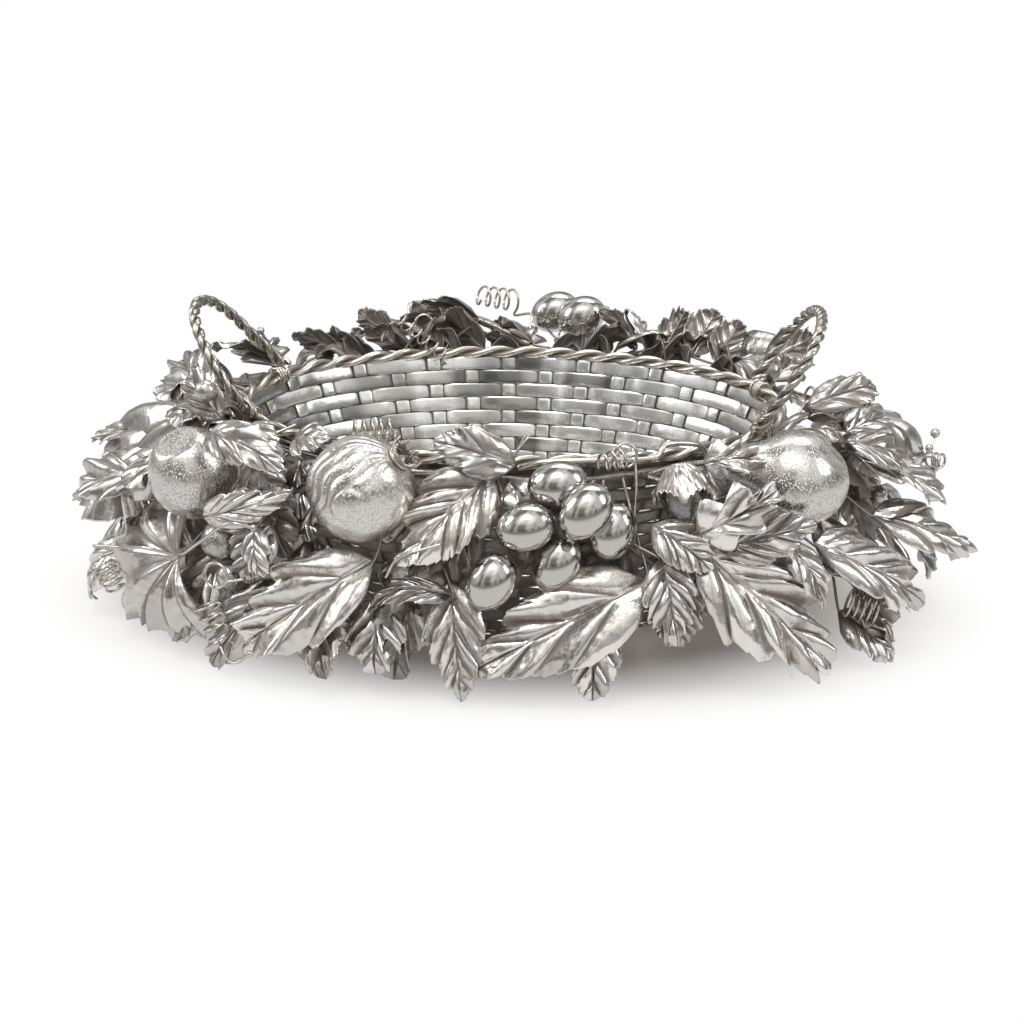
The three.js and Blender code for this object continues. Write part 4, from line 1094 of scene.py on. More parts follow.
# Each spray's angle on the vine, and its leaves
SPRAYS = {
    "leaf_peach_large": (224, [
        leaf((221, 72, -60), (203, 95, -88), 214, 88, tilt=20, fine=True, fan=True, ribs=8,
             spread=112, droop=0.1, hang=0.1, notch=0.14, teeth=0.1, tone=0.7)]),
    "leaf_pomegranate_large": (254, [
        low_leaf((254, 50, -44), (235, 78, 20), 245, 54, tilt=25, fine=True, veins=4, teeth=0.2,
                 twist=0.1, tone=0.9)]),
    "leaf_grapes_large": (296, [
        low_leaf((295, 52, -53), (269, 58, 20), 283, 54, tilt=25, fine=True, veins=4, bow=4,
                 twist=0, tone=0.9)]),
    "leaf_pear_large": (304, [
        low_leaf((303, 48, -36), (319, 88, 14), 312, 64, tilt=25, fine=True, veins=5, teeth=0.26,
                 puff=1.1, twist=0, tone=0.9)]),
    "leaves_pomegranate": (272, [
        leaf((271, 22, 0), (259, 52, -44), 266, 48, tilt=35, fine=True, veins=5, puff=1.2,
             tone=0.9),
        leaf((275, 18, 4), (261, 21, 17), 268, 30, tilt=35, veins=3, puff=0.7, twist=0.2)]),
    "leaves_left_crown": (204, [
        leaf((209, 26, 6), (188, 72, 0), 196, 52, tilt=60, fan=True),
        leaf((198, 24, 6), (170, 50, 14), 184, 40, tilt=60),
        leaf((205, 42, -8), (187, 96, -28), 196, 44, tilt=50, fan=True)]),
    "leaves_left_side": (200, [
        leaf((206, 60, -26), (195, 104, -46), 200, 46),
        leaf((192, 62, -38), (188, 110, -66), 190, 46, fan=True)]),
    "leaves_left_low": (188, [
        low_leaf((186, 66, -62), (186, 98, 4), 186, 44, tilt=30, fan=True),
        low_leaf((200, 78, -74), (197, 98, 8), 199, 34, tilt=20),
        leaf((174, 54, -30), (172, 94, -72), 174, 44)]),
    "leaves_peach": (220, [
        leaf((219, 24, 4), (233, 30, -6), 224, 26, tilt=50),
        leaf((227, 62, -36), (239, 46, -12), 232, 24, tilt=10)]),
    "leaves_peach_low": (232, [
        leaf((236, 50, -34), (234, 66, -64), 234, 32, tilt=20),
        low_leaf((239, 52, -64), (229, 78, 3), 233, 36, tilt=20)]),
    "leaves_pomegranate_low": (262, [
        low_leaf((254, 40, -66), (255, 60, 14), 255, 40, tilt=10),
        low_leaf((265, 40, -56), (268, 57, 5), 266, 36, tilt=10)]),
    "leaves_grapes_low": (292, [
        low_leaf((287, 44, -76), (286, 64, 5), 287, 32, tilt=10),
        low_leaf((299, 46, -52), (299, 60, 30), 299, 34, tilt=10)]),
    "leaves_pear": (314, [
        low_leaf((322, 66, -42), (341, 97, 28), 332, 48, fine=True, veins=6, tone=0.85),
        leaf((306, 56, -36), (317, 80, -22), 310, 30, tilt=20),
        leaf((317, 62, -38), (320, 82, -74), 318, 22, tilt=30)]),
    "leaves_right_crown": (348, [
        leaf((354, 46, 2), (2, 88, -28), 356, 62, tilt=50, fan=True, bow=12, ribs=9, notch=0.15),
        leaf((344, 48, -10), (352, 100, -44), 347, 36)]),
    "leaves_right_low": (338, [
        leaf((340, 66, -42), (352, 114, -74), 346, 40, twist=0),
        low_leaf((331, 64, -92), (333, 92, 3), 334, 34, tilt=20),
        low_leaf((4, 62, -50), (8, 100, 6), 6, 46, tilt=30)]),
    "leaves_back_right": (34, [
        low_leaf((24, 34, -8), (22, 92, 20), 23, 50, kind="lobed"),
        low_leaf((48, 36, -40), (46, 78, 4), 47, 48, tilt=30),
        leaf((53, 14, 4), (52, 34, 30), 52, 28, tilt=30)]),
    "leaves_back_middle": (74, [
        low_leaf((70, 28, -22), (68, 66, 14), 69, 50),
        low_leaf((90, 30, -34), (90, 53, 4), 90, 44, tilt=30, bow=3, twist=0),
        leaf((64, 12, 4), (71, 32, 20), 68, 30, tilt=50)]),
    "leaves_back_left": (114, [
        low_leaf((110, 28, -24), (110, 66, 8), 110, 50, kind="lobed"),
        low_leaf((128, 32, -26), (130, 72, 14), 129, 48),
        leaf((101, 18, 16), (117, 30, 14), 108, 36, tilt=30)]),
    "leaves_back_end": (148, [
        low_leaf((146, 34, -20), (146, 86, 6), 146, 50),
        low_leaf((160, 44, -30), (160, 96, 16), 160, 48, kind="lobed"),
        leaf((150, 18, 2), (162, 44, 12), 156, 30, tilt=65)]),
}


# Smaller leaves that the solids leave out. Held ones lie against a fruit and have no stalk.
# The dark ones, with a low tone and a high dark, are painted shade behind the fruit and the rim.
EXTRA_LEAVES = {
    "leaves_left_crown": [
        leaf((215, 30, 10), (205, 38, 34), 212, 26, tilt=30, bow=3),
        leaf((192, 60, -16), (188, 92, -22), 190, 22, tilt=55, teeth=0.3, dark=0.3, bow=3)],
    "leaves_peach": [
        leaf((226, 60, 15), (241, 60, 4), 232, 30, tilt=55, bow=8, held=True),
        leaf((226, 66, -32), (243, 62, -8), 233, 22, tilt=5, bow=8, held=True, tone=0.95,
             dark=-0.2),
        leaf((232, 20, 4), (243, 30, 12), 238, 24, tilt=50, bow=4),
        leaf((225, 30, -8), (237, 44, -22), 231, 34, tilt=35, bow=3, **SHADED),
        leaf((230, 36, -22), (239, 50, -50), 235, 38, tilt=30, bow=3, **SHADED)],
    "leaves_peach_low": [
        leaf((227, 50, -56), (227, 58, -88), 227, 34, tilt=20, bow=3, **SHADED),
        leaf((237, 66, -30), (240, 74, -54), 238, 20, tilt=10, bow=4, tone=0.9)],
    "leaves_pomegranate_low": [
        leaf((266, 46, -63), (254, 60, -66), 260, 20, tilt=60, bow=10, tone=0.4)],
    "leaves_pomegranate": [
        leaf((276, 26, -40), (266, 38, -70), 271, 34, tilt=30, **SHADED),
        leaf((268, 22, -26), (262, 34, -64), 265, 34, tilt=30, **SHADED)],
    "leaves_pear": [
        leaf((302, 58, -26), (311.5, 76, 0), 308, 40, tilt=20, bow=6, veins=3, kind="lobed",
             teeth=0.2, ruffle=0.3, puff=1.5, twist=0.3, tone=0.95, dark=-0.15),
        leaf((306, 40, 7), (314, 54, 9), 310, 30, tilt=35, bow=5, veins=3, kind="lobed", teeth=0.2,
             ruffle=0.35, puff=1.5, twist=0.3, tone=0.85, dark=-0.1),
        leaf((308, 30, -48), (306, 40, -84), 307, 38, tilt=25, bow=3, **SHADED),
        leaf((326, 42, -54), (323, 54, -84), 325, 38, tilt=25, bow=3, **SHADED),
        leaf((296, 48, -22), (303, 66, -44), 300, 28, tilt=25, bow=5)],
    "leaves_grapes_low": [
        leaf((284, 20, -12), (275, 32, -44), 280, 36, tilt=30, **SHADED),
        leaf((294, 22, -36), (287, 34, -68), 291, 36, tilt=30, **SHADED),
        low_leaf((289, 30, -62), (287, 40, 26), 288, 36, tilt=20, bow=3, **SHADED),
        leaf((297, 52, -40), (298, 62, -84), 298, 34, tilt=15, bow=5, teeth=0.25, tone=0.75)],
    "leaves_right_crown": [
        leaf((351, 38, -36), (346, 60, -74), 348, 46, tilt=30, bow=3, **SHADED),
        leaf((343, 32, -8), (352, 56, -42), 348, 38, tilt=35, bow=3, **SHADED),
        leaf((342, 46, 3), (356, 64, 1), 349, 26, tilt=55, bow=4),
        leaf((336, 54, 4), (344, 82, -16), 340, 28, tilt=45, bow=5),
        leaf((336, 30, 20), (347, 60, 28), 342, 26, tilt=50, bow=5, dark=0.3)],
    "leaves_back_middle": [
        leaf((78, 12, -3), (69, 30, 11), 74, 32, tilt=45, tone=0.2, dark=0.35, bow=4),
        leaf((90, 12, -2), (98, 28, 9), 94, 32, tilt=45, tone=0.15, dark=0.45, bow=4),
        leaf((60, 14, 4), (58, 30, 28), 60, 24, tilt=20, bow=3, teeth=0.3),
        leaf((66, 12, 4), (76, 26, 24), 70, 24, tilt=30, bow=3, dark=0.3)],
    "leaves_back_right": [
        leaf((60, 12, -3), (52, 28, 10), 56, 32, tilt=45, tone=0.3, dark=0.3, bow=4),
        leaf((44, 14, -3), (53, 30, 12), 48, 30, tilt=45, tone=0.2, dark=0.4, bow=4),
        leaf((47, 16, 4), (46, 36, 26), 47, 26, tilt=20, bow=3),
        leaf((34, 24, 6), (30, 50, 24), 32, 30, tilt=30, bow=4)],
    "leaves_back_left": [
        leaf((100, 14, -3), (110, 26, 20), 104, 38, tilt=45, tone=0.15, dark=0.45, bow=4),
        leaf((114, 12, -3), (106, 28, 14), 110, 34, tilt=45, tone=0.1, dark=0.5, bow=4),
        leaf((116, 12, -3), (125, 28, 9), 120, 32, tilt=45, tone=0.15, dark=0.45, bow=4),
        leaf((128, 12, -2), (136, 28, 9), 132, 30, tilt=45, tone=0.2, dark=0.4, bow=4),
        leaf((120, 14, 4), (126, 30, 22), 124, 26, tilt=30, bow=3, dark=0.3),
        leaf((134, 14, 2), (143, 26, 14), 138, 22, tilt=40, bow=3, dark=0.5, tone=0.2)],
}


# Fruit

def stem(bm, centre, angle, radius):
    """A wire from the vine into the middle of a fruit."""
    end = vine_point(float(angle), VINE_RADIUS + radius + 0.3)
    middle = lerp(end, np.array(centre), 0.5) + UP * 2
    tube(bm, smooth_path([end, middle, centre], 20), np.linspace(radius * 1.25, radius, 20), 8,
         recess=0.2, tone=0.4)


def fruit(name, centre, axis, shape, angle, radius, segments=96, rings=64, **marks):
    """A fruit, with a stem of this radius that leaves the vine at this angle."""
    bm = new_bmesh()
    ball(bm, centre, axis, shape, segments, rings, **marks)
    stem(bm, centre, angle, radius)
    finish_piece(name + "_shell", bm, "fruit_silver", [name])


def peach_shape(height, turn):
    seam = np.exp(-((turn - 0.6) / 0.22) ** 2)
    out = PEACH_RADIUS * level_radius(height) * (1 - 0.06 * height) * (1 - 0.07 * seam)
    along = PEACH_HALF * height - 4.5 * np.exp(-((1 - height) / 0.1) ** 2) * (height > 0)
    return along, out


def chased_ridges(height, turn):
    """Ridges that a chasing tool drew from the pomegranate's crown down its upper side, from 0 in
    the furrows to 1 on top."""
    sweep = turn * 3.4 + 0.9 * height + 0.25 * np.sin(3 * height)
    sweep = sweep + 0.2 * np.sin(7 * height - 3 * turn)
    return np.abs(sweep % 1 - 0.5) * 2


def boss_gap(height, turn):
    """The distance from the middle of the smooth boss in front, in its radii."""
    return np.hypot(height - 0.06, (turn - 0.09) * level_radius(height)) / 0.37


def chased_share(turn, gap):
    """Where the furrows run: on the upper side, outside the boss."""
    return smoothstep(0.0, 0.5, np.cos(turn + 1.35)) * smoothstep(0.9, 1.2, gap)


def boss_ring(turn, gap, width):
    return np.exp(-((gap - 1) / width) ** 2) * smoothstep(0.55, -0.2, turn)


def pomegranate_shape(height, turn):
    gap = boss_gap(height, turn)
    furrows = 1.5 * (chased_ridges(height, turn) ** 0.7 - 1) * chased_share(turn, gap)
    ring = boss_ring(turn, gap, 0.12)
    out = POMEGRANATE_RADIUS + 0.5 * np.cos(6 * turn) + furrows - 0.9 * ring
    return POMEGRANATE_HALF * height, level_radius(height) * out


def chased_shade(height, turn):
    gap = boss_gap(height, turn)
    furrows = smoothstep(0.5, 0.0, chased_ridges(height, turn)) * chased_share(turn, gap)
    dark = np.maximum(furrows * (1 - height**6), boss_ring(turn, gap, 0.1))
    return 0.75 * dark + 0.25 * smoothstep(1.0, 0.6, gap) - 0.1


def apple_shape(height, turn):
    out = APPLE_RADIUS * level_radius(height) * (1 + 0.08 * height)
    out = out * (1 + 0.035 * np.cos(5 * turn) + 0.03 * np.abs(np.cos(9 * turn)))
    dent = np.exp(-((1 - height) / 0.09) ** 2) - 0.6 * np.exp(-((1 + height) / 0.08) ** 2)
    return APPLE_HALF * height - 4.0 * dent, out


# The pear from its dent to its neck: millimetres out from the axis and along it
PEAR_PROFILE = [(0.0, -24.5), (6.1, -26.0), (17.0, -20.0), (24.9, -7.0), (26.5, 3.8), (23.1, 14.9),
                (15.6, 26.0), (11.5, 37.0), (8.1, 45.0), (0.0, 48.0)]
PEAR_NECK = 44.0


def pear_shape(height, turn):
    out, along, _ = smooth_path([(*spot, 0.0) for spot in PEAR_PROFILE], 200).T
    spot = np.arccos(np.clip(-height, -1, 1)) / math.pi * (len(out) - 1)
    order = np.arange(len(out))
    bulge = np.maximum(np.interp(spot, order, out), 0) * (1 + 0.012 * np.sin(3 * turn + height * 4))
    return np.interp(spot, order, along), bulge


def crown(centre, axis):
    """The pomegranate's open crown: a ring, a short tube that splits into ragged petals, and
    threads."""
    bm = new_bmesh()
    axis, side, third = across_axis(axis)
    verts, u, v = new_grid(bm, 96, 14)
    turn = (u + 1) * math.pi
    petal = np.abs(np.sin(turn * 3.5)) ** 0.7
    ragged = np.abs(((turn * 4.3) % 1) - 0.5)
    out = lerp(6.0, 9.4, v**1.3) * (1 - 0.05 * petal * v)
    height = 12.0 * v * (1 - (0.36 * petal + 0.2 * ragged) * smoothstep(0.35, 1, v))
    along = POMEGRANATE_HALF - 3 + height
    put(verts, centre + axis * along[:, None] + out[:, None] * turned(side, third, turn))
    mark(bm, verts, "recess", 0.5 * (1 - v) + 0.3 * ragged)
    mark(bm, verts, "tone", 0.6)
    close_seams(bm, verts)
    threads = new_bmesh()
    foot = centre + axis * (POMEGRANATE_HALF + 0.6)
    collar = foot + 6.9 * turned(side, third, np.linspace(0, 2 * math.pi, 61))
    tube(threads, collar, 1.1, 8, recess=0.1, tone=0.6, rounded=False)
    for thread in range(22):
        out = 1.0 + 4.6 * (thread * 0.618 % 1)
        across = turned(side, third, np.array([thread * 2.4]))[0] * out
        path = smooth_path([foot - axis * 2 + across * 0.6, foot + axis * 3 + across,
                            foot + axis * (7 + thread % 3) + across * 1.3], 8)
        tube(threads, path, 0.4, 5, recess=0.15, tone=0.6)
    finish_piece("pomegranate_threads", threads, "tendril_silver")
    finish_piece("pomegranate_crown", bm, "leaf_silver", sheet=CROWN_SHEET, close=False)


def husk(centre, axis):
    """The hazelnut's husk: a cup of crumpled, toothed bracts round the upper part of the nut."""
    bm = new_bmesh()
    axis, side, third = across_axis(axis)
    verts, u, v = new_grid(bm, 120, 26)
    turn = (u + 1) * math.pi
    lobe = np.abs(np.sin(turn * 2.5)) ** 0.8
    ragged = np.abs(((turn * 5.1) % 1) - 0.5) * 2
    height = lerp(-1.02, 0.42, v * (1 - 0.34 * lobe - 0.1 * ragged))
    crumple = 1.3 * np.sin(turn * 5 + v * 4) * v + 0.5 * np.sin(turn * 13 + v * 9)
    body = NUT_RADIUS * level_radius(np.clip(height, -0.96, 1))
    out = body + 1.6 + crumple * 0.7 + 3.5 * v**3
    put(verts, centre + axis * (NUT_HALF * height)[:, None]
        + out[:, None] * turned(side, third, turn))
    mark(bm, verts, "recess", 0.4 * smoothstep(0.3, 0.9, -crumple) + 0.1)
    mark(bm, verts, "tone", 0.75)
    close_seams(bm, verts)
    finish_piece("hazelnut_husk", bm, "leaf_silver", sheet=HUSK_SHEET, close=False)


def fruits():
    fruit("peach", by_rim(218, 55, -15), (-0.25, -0.35, 0.9), peach_shape, 214, 2.0,
          stipple=0.9, tone=0.8)
    centre, axis = by_rim(251, 42, -6), (0.72, -0.1, 0.62)
    fruit("pomegranate", centre, axis, pomegranate_shape, 246, 2.0, 160, 96,
          recess=chased_shade, stipple=0.5, tone=0.85)
    crown(centre, axis)
    centre = by_rim(322, 55, -7)
    toward = by_rim(311, 34, 4) - centre
    bm = new_bmesh()
    ball(bm, centre, toward, pear_shape, 112, 80, stipple=0.7, tone=0.8)
    stem(bm, centre + unit(toward) * PEAR_NECK, 302, 1.7)
    finish_piece("pear_shell", bm, "fruit_silver", ["pear"])
    centre, axis = by_rim(302, 42, -9), (0.1, -0.35, -0.9)
    fruit("hazelnut", centre, axis, egg(NUT_HALF, NUT_RADIUS, 0.12), 300, 1.5,
          stipple=0.3, tone=0.2)
    husk(centre, axis)
    fruit("apple", by_rim(42, 46, 4), (0.2, 0.3, 1), apple_shape, 44, 2.0, stipple=0.3)
    fruit("plum", by_rim(165, 40, -6), (-0.6, 0.2, 0.7), egg(PLUM_HALF, PLUM_RADIUS), 166, 1.5,
          stipple=0.5)
    fruit("berry", by_rim(227, 58, -47), (0, -0.6, 0.8), egg(BERRY_RADIUS, BERRY_RADIUS), 232, 1.5,
          stipple=0.3)


# Grapes

def grape(name, centre, axis, branch):
    """A grape lies along its own axis, and its stalk runs from the bunch's stem to its end."""
    bm = new_bmesh()
    axis = unit(np.array(axis, dtype=float))
    ball(bm, centre, axis, egg(GRAPE_HALF, GRAPE_RADIUS), 80, 48, tone=0.72)
    ball(bm, centre + axis * GRAPE_HALF, axis, egg(0.8, 1.2), 12, 8, tone=0.3)
    start = branch + unit(centre - branch) * 1.9
    poles = [centre - axis * (GRAPE_HALF - 1), centre + axis * (GRAPE_HALF - 1)]
    end = lerp(min(poles, key=lambda pole: np.linalg.norm(pole - branch)), centre, 0.12)
    path = smooth_path([start, lerp(start, end, 0.5) + UP * 0.6, end], 14)
    tube(bm, path, np.linspace(0.85, 0.8, 14), 8, recess=0.15)
    finish_piece(name + "_shell", bm, "grape_silver", [name])


# Bunches: the angle where the stem leaves the vine, the stem's points, and for each grape its
# middle, its axis and the stem's point that it hangs from
BUNCHES = {
    "front": (290, [(286, 16, -20), (282, 22, -38), (277, 28, -52)], [
        ((282, 32, -2), (0.97, 0, 0.25), 0),
        ((285.4, 52, -10), (0.62, 0.2, 0.76), 0),
        ((290.5, 38, -28), (0.35, 0.15, 0.92), 0),
        ((276.8, 46, -21), (0.93, 0, 0.37), 1),
        ((281.6, 42, -43), (0.5, 0.1, 0.86), 1),
        ((271.8, 54, -49), (0.5, 0.1, 0.86), 2)]),
    "back": (84, [(84, 18, -2), (85, 24, 2)], [
        ((80.5, 34, 16), (0.9, 0, 0.43), 1),
        ((86.2, 46, 15), (0.9, 0, 0.43), 1)]),
}


def bunches():
    for name, (root, spots, grapes) in BUNCHES.items():
        bm = new_bmesh()
        points = [by_rim(*spot) for spot in spots]
        start = vine_point(float(root), VINE_RADIUS + 1.9)
        tube(bm, smooth_path([start, *points], 40), np.linspace(1.75, 1.3, 40), 9, recess=0.15)
        finish_piece("grape_stem_%s_rod" % name, bm, "stem_silver", ["grape_stem_" + name])
        for index, (spot, axis, branch) in enumerate(grapes):
            grape("grape_%s_%d" % (name, index + 1), by_rim(*spot), axis, points[branch])


# Vine, twig and tendrils

def vines():
    for side, (start, finish) in {"back": (42, 138), "left": (140, 224), "front": (226, 314),
                                  "right": (316, 400)}.items():
        bm = new_bmesh()
        angles = np.linspace(start, finish, 220)
        knots = np.exp(-(angles % 17 - 8) ** 2)
        thick = VINE_RADIUS * (0.94 + 0.1 * np.sin(angles * 0.9) + 0.22 * knots)
        tube(bm, vine_point(angles), thick, 14, tone=0.4)
        mark(bm, bm.verts, "recess", 0.3)
        finish_piece("vine_%s_rod" % side, bm, "stem_silver", ["vine_" + side])


def twig():
    bm = new_bmesh()
    path = rim_path([(90, 10, 2), (96, 16, 10), (103, 25, 17), (111, 32, 21)], 80)
    share = np.linspace(0, 1, 80)
    knot = np.exp(-((share - 0.45) / 0.03) ** 2)
    thick = 2.6 * (1 + 0.16 * np.sin(share * 31) * np.sin(share * 12) + 0.25 * knot)
    thick[-1] = thick[-2]
    tube(bm, path, thick, 16, recess=0.1, rounded=False)
    bmesh.ops.holes_fill(bm, edges=[e for e in bm.edges if e.is_boundary], sides=0)
    finish_piece("pruned_twig_rod", bm, "stem_silver", ["pruned_twig"])


def coil_path(start, lead, origin, to, radius, end_radius, turns, per_turn=22):
    """A lead from the vine, then a coil that may tighten or open, and a short straight end."""
    start, lead, origin, to = [by_rim(*spot) for spot in (start, lead, origin, to)]
    reach = np.linalg.norm(to - origin)
    axis = (to - origin) / reach
    side = start - origin
    side = unit(side - axis * side.dot(axis))
    share = np.linspace(0, 1, turns * per_turn)
    out = lerp(radius, end_radius, share)
    coil = origin + axis * (reach * share)[:, None]
    coil = coil + out[:, None] * turned(side, np.cross(axis, side), share * turns * 2 * math.pi)
    before = coil[0] + unit(coil[0] - coil[1]) * radius * 0.8
    led = smooth_path([start, lead, before, coil[0]], 30)[:-1]
    return np.vstack([led, coil, coil[-1] + unit(coil[-1] - coil[-2]) * 2])


# Tendrils: their start, the bend of their lead, and the two ends of their coil, all by the rim as
# angle, out and rise, then the coil's first and last radius and its turns
TENDRILS = {
    "tendril_peach": ((216, 98, -54), (212, 106, -57), (211.5, 102, -68), (215, 99, -81), 7, 5, 5),
    "tendril_left_front": ((236, 74, -58), (234, 82, -60), (231, 82, -73), (232.5, 78, -98),
                           8, 6.5, 4),
    "tendril_pomegranate": ((240, 12, 3), (240, 16, 10), (245, 17, 17), (252, 8, 18), 6, 6, 5),
    "tendril_stem_front": ((297, 12, 4), (296, 19, 6), (294, 24, 9), (289.5, 27, 8), 6, 4.5, 3),
    "tendril_right_front": ((323, 78, -58), (326, 84, -62), (329, 73, -80), (332, 87, -86),
                            9, 8, 5),
    "tendril_right": ((350, 12, 3), (352, 14, 8), (358, 14, 10), (1, 38, 6), 6.5, 6.5, 5),
    "tendril_far_right": ((356, 76, -30), (359, 82, -32), (3, 88, -31), (360, 97, -28), 5, 4, 3),
    "tendril_back": ((90, 14, 12), (90, 20, 20), (93.5, 29, 26.5), (101, 18, 33), 7, 6, 4),
    "tendril_back_left": ((123, 14, 6), (122, 15, 12), (119, 12, 21), (110, -15, 1), 4.5, 4, 6),
}


def tendrils():
    """Each tendril is one wire."""
    for name, form in TENDRILS.items():
        bm = new_bmesh()
        tube(bm, coil_path(*form), TENDRIL_WIRE, 8, tone=0.6)
        finish_piece(name + "_wire", bm, "tendril_silver", [name])


# Thin wires and petioles that run over the garland: their points by the rim as angle, out and rise,
# and their radius from start to end
LOOSE_WIRES = {
    "petiole_peach": ([(222, 74, -57), (225, 77, -52), (230, 80, -39), (235, 79, -25),
                       (238, 72, -27)], 1.2, 0.9),
    "lead_peach": ([(221, 75, -58), (219, 88, -53), (216, 98, -54)], 1.0, 0.9),
    "petiole_pomegranate": ([(257, 60, -48), (259, 60, -36), (264.5, 54, -29)], 0.8, 0.6),
    "petiole_grapes": ([(291, 59, -55), (294, 62, -47), (297, 58, -40)], 1.1, 0.8),
    "stem_front": ([(276, 12, 1), (280.5, 15, 5), (290, 17, 6), (300, 20, 6), (303, 17, 12),
                    (311, 14, 8), (314, 11, -4)], 2.1, 1.5),
    "stem_front_drop": ([(296.5, 19, 5), (296, 25, -8), (295, 31, -24), (294, 36, -38)], 0.9, 0.8),
    "curl_middle": ([(273, 18, 0), (275, 17, 8), (276.5, 15, 18), (277.5, 16, 20), (276.5, 18, 17),
                     (275, 20, 12)], 0.8, 0.5),
    "petiole_berry": ([(224, 24, 1), (225, 15, 5), (227, 6, 9)], 0.9, 0.9),
    "tail_left_front": ([(233, 82, -97), (235, 85, -102), (237, 86, -103), (239, 84, -97)],
                        0.9, 0.7),
    "pin_back": ([(155, 7, 2), (156, 9, 14), (158, 13, 26)], 0.9, 0.9),
    "sprig_right": ([(352, 60, -20), (356, 80, -22), (0, 88, -22), (2, 92, -15)], 1.0, 0.7),
    "sprig_right_low": ([(356, 80, -22), (1, 92, -27), (1, 93, -33)], 0.8, 0.6),
}
# Small beads on the ends of wires and beside the fruit: place by the rim and radius
BEADS = {
    "bead_peach": ((238, 72, -27), 2.2),
    "bead_pin": ((158, 13.5, 27), 2.4),
    "bead_left_low": ((230, 63, -65), 7.5),
    "bead_left_crown": ((214, 38, 27), 6.5),
    "bead_right": ((354, 60, -44), 5.5),
    "bead_tail": ((239, 84, -96), 1.8),
    "bead_sprig": ((2, 92, -13), 2.8),
    "bead_sprig_low": ((359, 88, -19), 2.4),
    "bead_sprig_end": ((1, 93, -34), 2.0),
}
# Small loops of wire: middle by the rim, radius and the axis that they turn round
LOOPS = {
    "loop_front": ((294.5, 20, 9), 6.5, (0.3, -1, 0.2)),
    "loop_left_front": ((233, 82, -56), 7.0, (-0.3, -1, 0.2)),
    "loop_back": ((113, 15, 16), 5.5, (0.1, -1, 0.3)),
}


def loose_wires():
    wires = new_bmesh()
    for spots, first, last in LOOSE_WIRES.values():
        path = rim_path(spots, 14 * len(spots))
        tube(wires, path, np.linspace(first, last, len(path)), 8, recess=0.05, tone=0.65)
    for middle, radius, way in LOOPS.values():
        way, side, third = across_axis(way)
        turn = np.linspace(-1.2, 2 * math.pi + 0.3, 48)
        shift = np.linspace(-0.9, 0.9, 48)[:, None]
        path = by_rim(*middle) + way * shift + radius * turned(side, third, turn)
        tube(wires, path, LOOP_WIRE, 8, tone=0.7)
    finish_piece("petioles_and_loops", wires, "tendril_silver")
    beads = new_bmesh()
    for middle, radius in BEADS.values():
        ball(beads, by_rim(*middle), (0.3, -0.5, 0.8), egg(radius, radius), 32, 20,
             stipple=0.4, tone=0.6)
    finish_piece("beads", beads, "fruit_silver")


# Studio, in metres. The camera looks at TARGET from this far, turned from the front and raised.

CAMERA_TURN = math.radians(6)
CAMERA_RISE = math.radians(20.6)
CAMERA_FAR = 1.25
TARGET = Vector((0.001, 0, 0.051))
LAMPS_AIM = Vector((0, 0, 0.06))
LENS = 72.07
SENSOR = 36
CLIP = 100
FLOOR_SIZE = 30
PAPER = (0.87, 0.79, 0.72, 1)
WHITE = (1, 1, 1, 1)
ROOM = (1, 0.99, 0.975, 1)
LIGHT_OF_WORLD = 0.42
# The way to the brightest part of the mirrored room
GLOW_WAY = (-0.11, -0.48, 0.87)
# Soft lamps: place, size and power
LAMPS = {
    "softbox_front": ((-0.2, -0.68, 1.55), (0.7, 0.6), 8.0),
    "softbox_left": ((-1.4, -0.1, 0.9), (0.8, 1.0), 5.0),
    "softbox_right": ((1.5, -0.3, 1.0), (0.6, 1.1), 5.0),
    "softbox_top": ((0.1, 0.8, 1.7), (1.6, 0.7), 7.5),
}


def show(name, data, place=(0, 0, 0), back=None):
    """Adds an object of the studio. Lamps and the camera look away from the direction back."""
    holder = bpy.data.objects.new(name, data)
    bpy.context.scene.collection.objects.link(holder)
    holder.location = place
    if back is not None:
        holder.rotation_euler = (-back).to_track_quat("-Z", "Y").to_euler()
    return holder


def camera():
    back = Vector((math.sin(CAMERA_TURN) * math.cos(CAMERA_RISE),
                   -math.cos(CAMERA_TURN) * math.cos(CAMERA_RISE), math.sin(CAMERA_RISE)))
    data = bpy.data.cameras.new("camera")
    data.lens = LENS
    data.sensor_width = SENSOR
    data.clip_end = CLIP
    bpy.context.scene.camera = show("camera", data, TARGET + back * CAMERA_FAR, back)


def lamps():
    for name, (place, size, power) in LAMPS.items():
        light = bpy.data.lights.new(name, "AREA")
        light.shape = "ELLIPSE"
        light.size, light.size_y = size
        light.energy = power
        show(name, light, place, Vector(place) - LAMPS_AIM)


def empty_tree(holder):
    holder.use_nodes = True
    holder.node_tree.nodes.clear()
    return holder.node_tree


def either(tree, share, first, second):
    """The first shader where the share is 0, the second where it is 1."""
    pick = node(tree, "ShaderNodeMixShader")
    for index, part in enumerate((share, first, second)):
        feed(tree, part, pick.inputs[index])
    return pick.outputs[0]


def ways_seen(tree):
    """Whether a ray is seen straight on, and whether it is mirrored."""
    rays = node(tree, "ShaderNodeLightPath").outputs
    plain = maths(tree, "MAXIMUM", rays["Is Camera Ray"], rays["Is Transmission Ray"])
    return plain, rays["Is Glossy Ray"]


def stretched(tree, way, scale):
    made = node(tree, "ShaderNodeMapping", {"Scale": scale})
    feed(tree, way, made.inputs["Vector"])
    return made.outputs["Vector"]


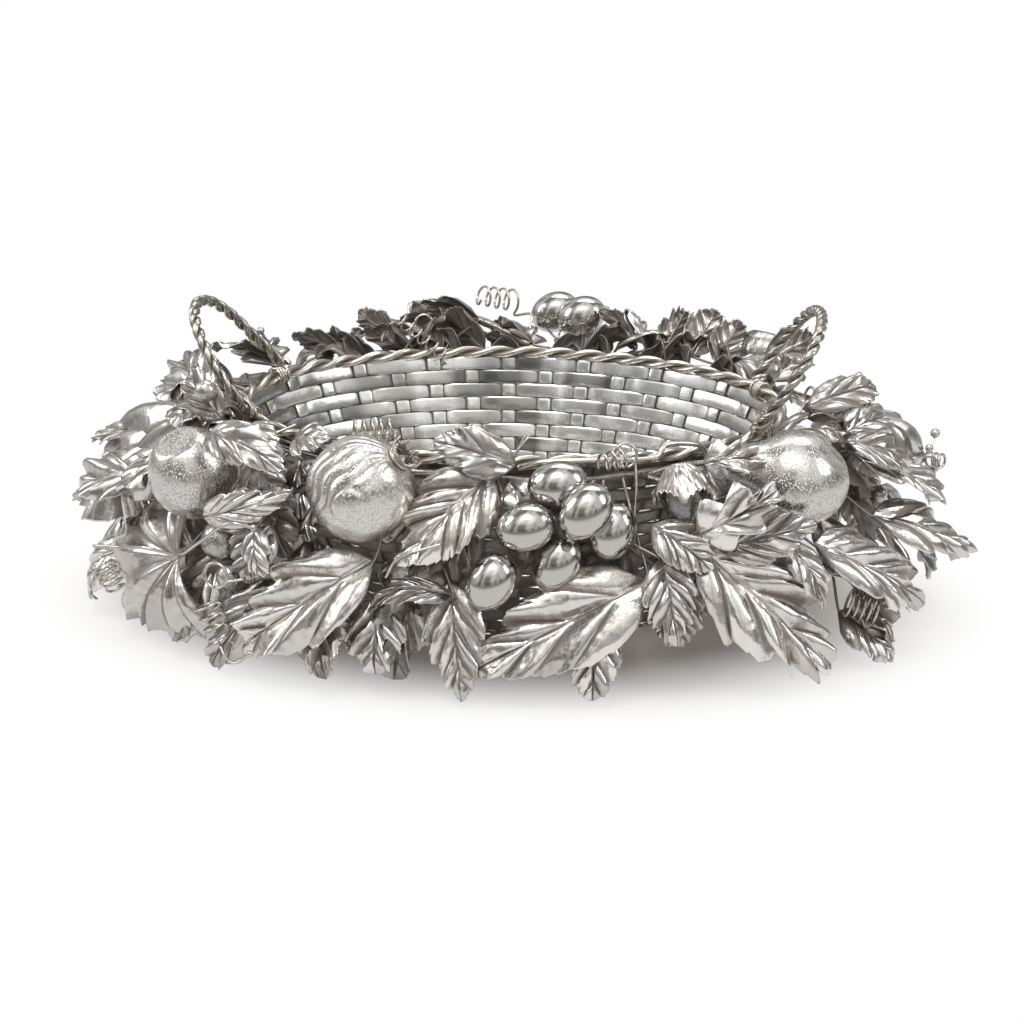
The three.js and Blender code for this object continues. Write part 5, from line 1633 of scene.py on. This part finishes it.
def white_floor():
    """White paper that shows a shadow near the basket and nothing further off. Mirrored, it is
    white round the basket and dims away from it."""
    bm = bmesh.new()
    bmesh.ops.create_grid(bm, x_segments=1, y_segments=1, size=FLOOR_SIZE)
    mesh = bpy.data.meshes.new("floor")
    bm.to_mesh(mesh)
    bm.free()
    paper = bpy.data.materials.new("white_paper")
    tree = empty_tree(paper)
    flat = node(tree, "ShaderNodeBsdfDiffuse", {"Color": PAPER})
    white = node(tree, "ShaderNodeEmission", {"Color": WHITE})
    place = node(tree, "ShaderNodeTexCoord").outputs["Object"]
    gap = node(tree, "ShaderNodeVectorMath", operation="LENGTH")
    feed(tree, stretched(tree, place, (0.64, 1, 1)), gap.inputs[0])
    far = gap.outputs["Value"]
    paleness = ranged(tree, far, 0.1, 0.195, 0.04, 1.0, smooth=True)
    near = ranged(tree, far, 0.35, 0.9, 0.85, 0.32, smooth=True)
    plain, glossy = ways_seen(tree)
    feed(tree, plus(tree, plain, times(tree, glossy, near)), white.inputs["Strength"])
    share = times(tree, maths(tree, "MAXIMUM", plain, glossy), paleness)
    out = node(tree, "ShaderNodeOutputMaterial")
    feed(tree, either(tree, share, flat.outputs[0], white.outputs[0]), out.inputs["Surface"])
    mesh.materials.append(paper)
    floor = show("floor", mesh)


def room():
    """White where it is seen. Mirrored, a dim room, paler overhead and uneven all round."""
    world = bpy.data.worlds.new("studio")
    bpy.context.scene.world = world
    tree = empty_tree(world)
    lit = node(tree, "ShaderNodeBackground", {"Color": WHITE, "Strength": LIGHT_OF_WORLD})
    shown = node(tree, "ShaderNodeBackground", {"Color": WHITE, "Strength": 1.0})
    mirrored = node(tree, "ShaderNodeBackground", {"Color": ROOM})
    way = node(tree, "ShaderNodeTexCoord").outputs["Generated"]
    height = node(tree, "ShaderNodeSeparateXYZ")
    feed(tree, way, height.inputs[0])
    rise = ranged(tree, height.outputs["Z"], 0.1, 0.3, 0.38, 0.64, smooth=True)
    patches = noise(tree, stretched(tree, way, (1, 1, 0.35)), 2.3, 1.0, 0.4)
    patchy = ranged(tree, patches, 0.42, 0.57, 0.4, 1.25, smooth=True)
    toward = node(tree, "ShaderNodeVectorMath", operation="DOT_PRODUCT")
    feed(tree, way, toward.inputs[0])
    toward.inputs[1].default_value = GLOW_WAY
    glow = ranged(tree, toward.outputs["Value"], 0.8, 0.98, 0.0, 0.8, smooth=True)
    feed(tree, plus(tree, glow, times(tree, rise, patchy)), mirrored.inputs["Strength"])
    plain, glossy = ways_seen(tree)
    straight = either(tree, plain, lit.outputs[0], shown.outputs[0])
    out = node(tree, "ShaderNodeOutputWorld")
    feed(tree, either(tree, glossy, straight, mirrored.outputs[0]), out.inputs["Surface"])


bpy.context.scene.view_settings.view_transform = "Standard"
camera()
white_floor()
room()
lamps()
weave_strips()
weave_stakes()
bowl_floor()
rim_rope()
handle("left", -1, LEFT_LEAN)
handle("right", 1, RIGHT_LEAN)
bindings()
for index, (name, (root, leaves)) in enumerate(SPRAYS.items()):
    spray(name, root, leaves, index + 3)
fruits()
bunches()
vines()
twig()
tendrils()
loose_wires()
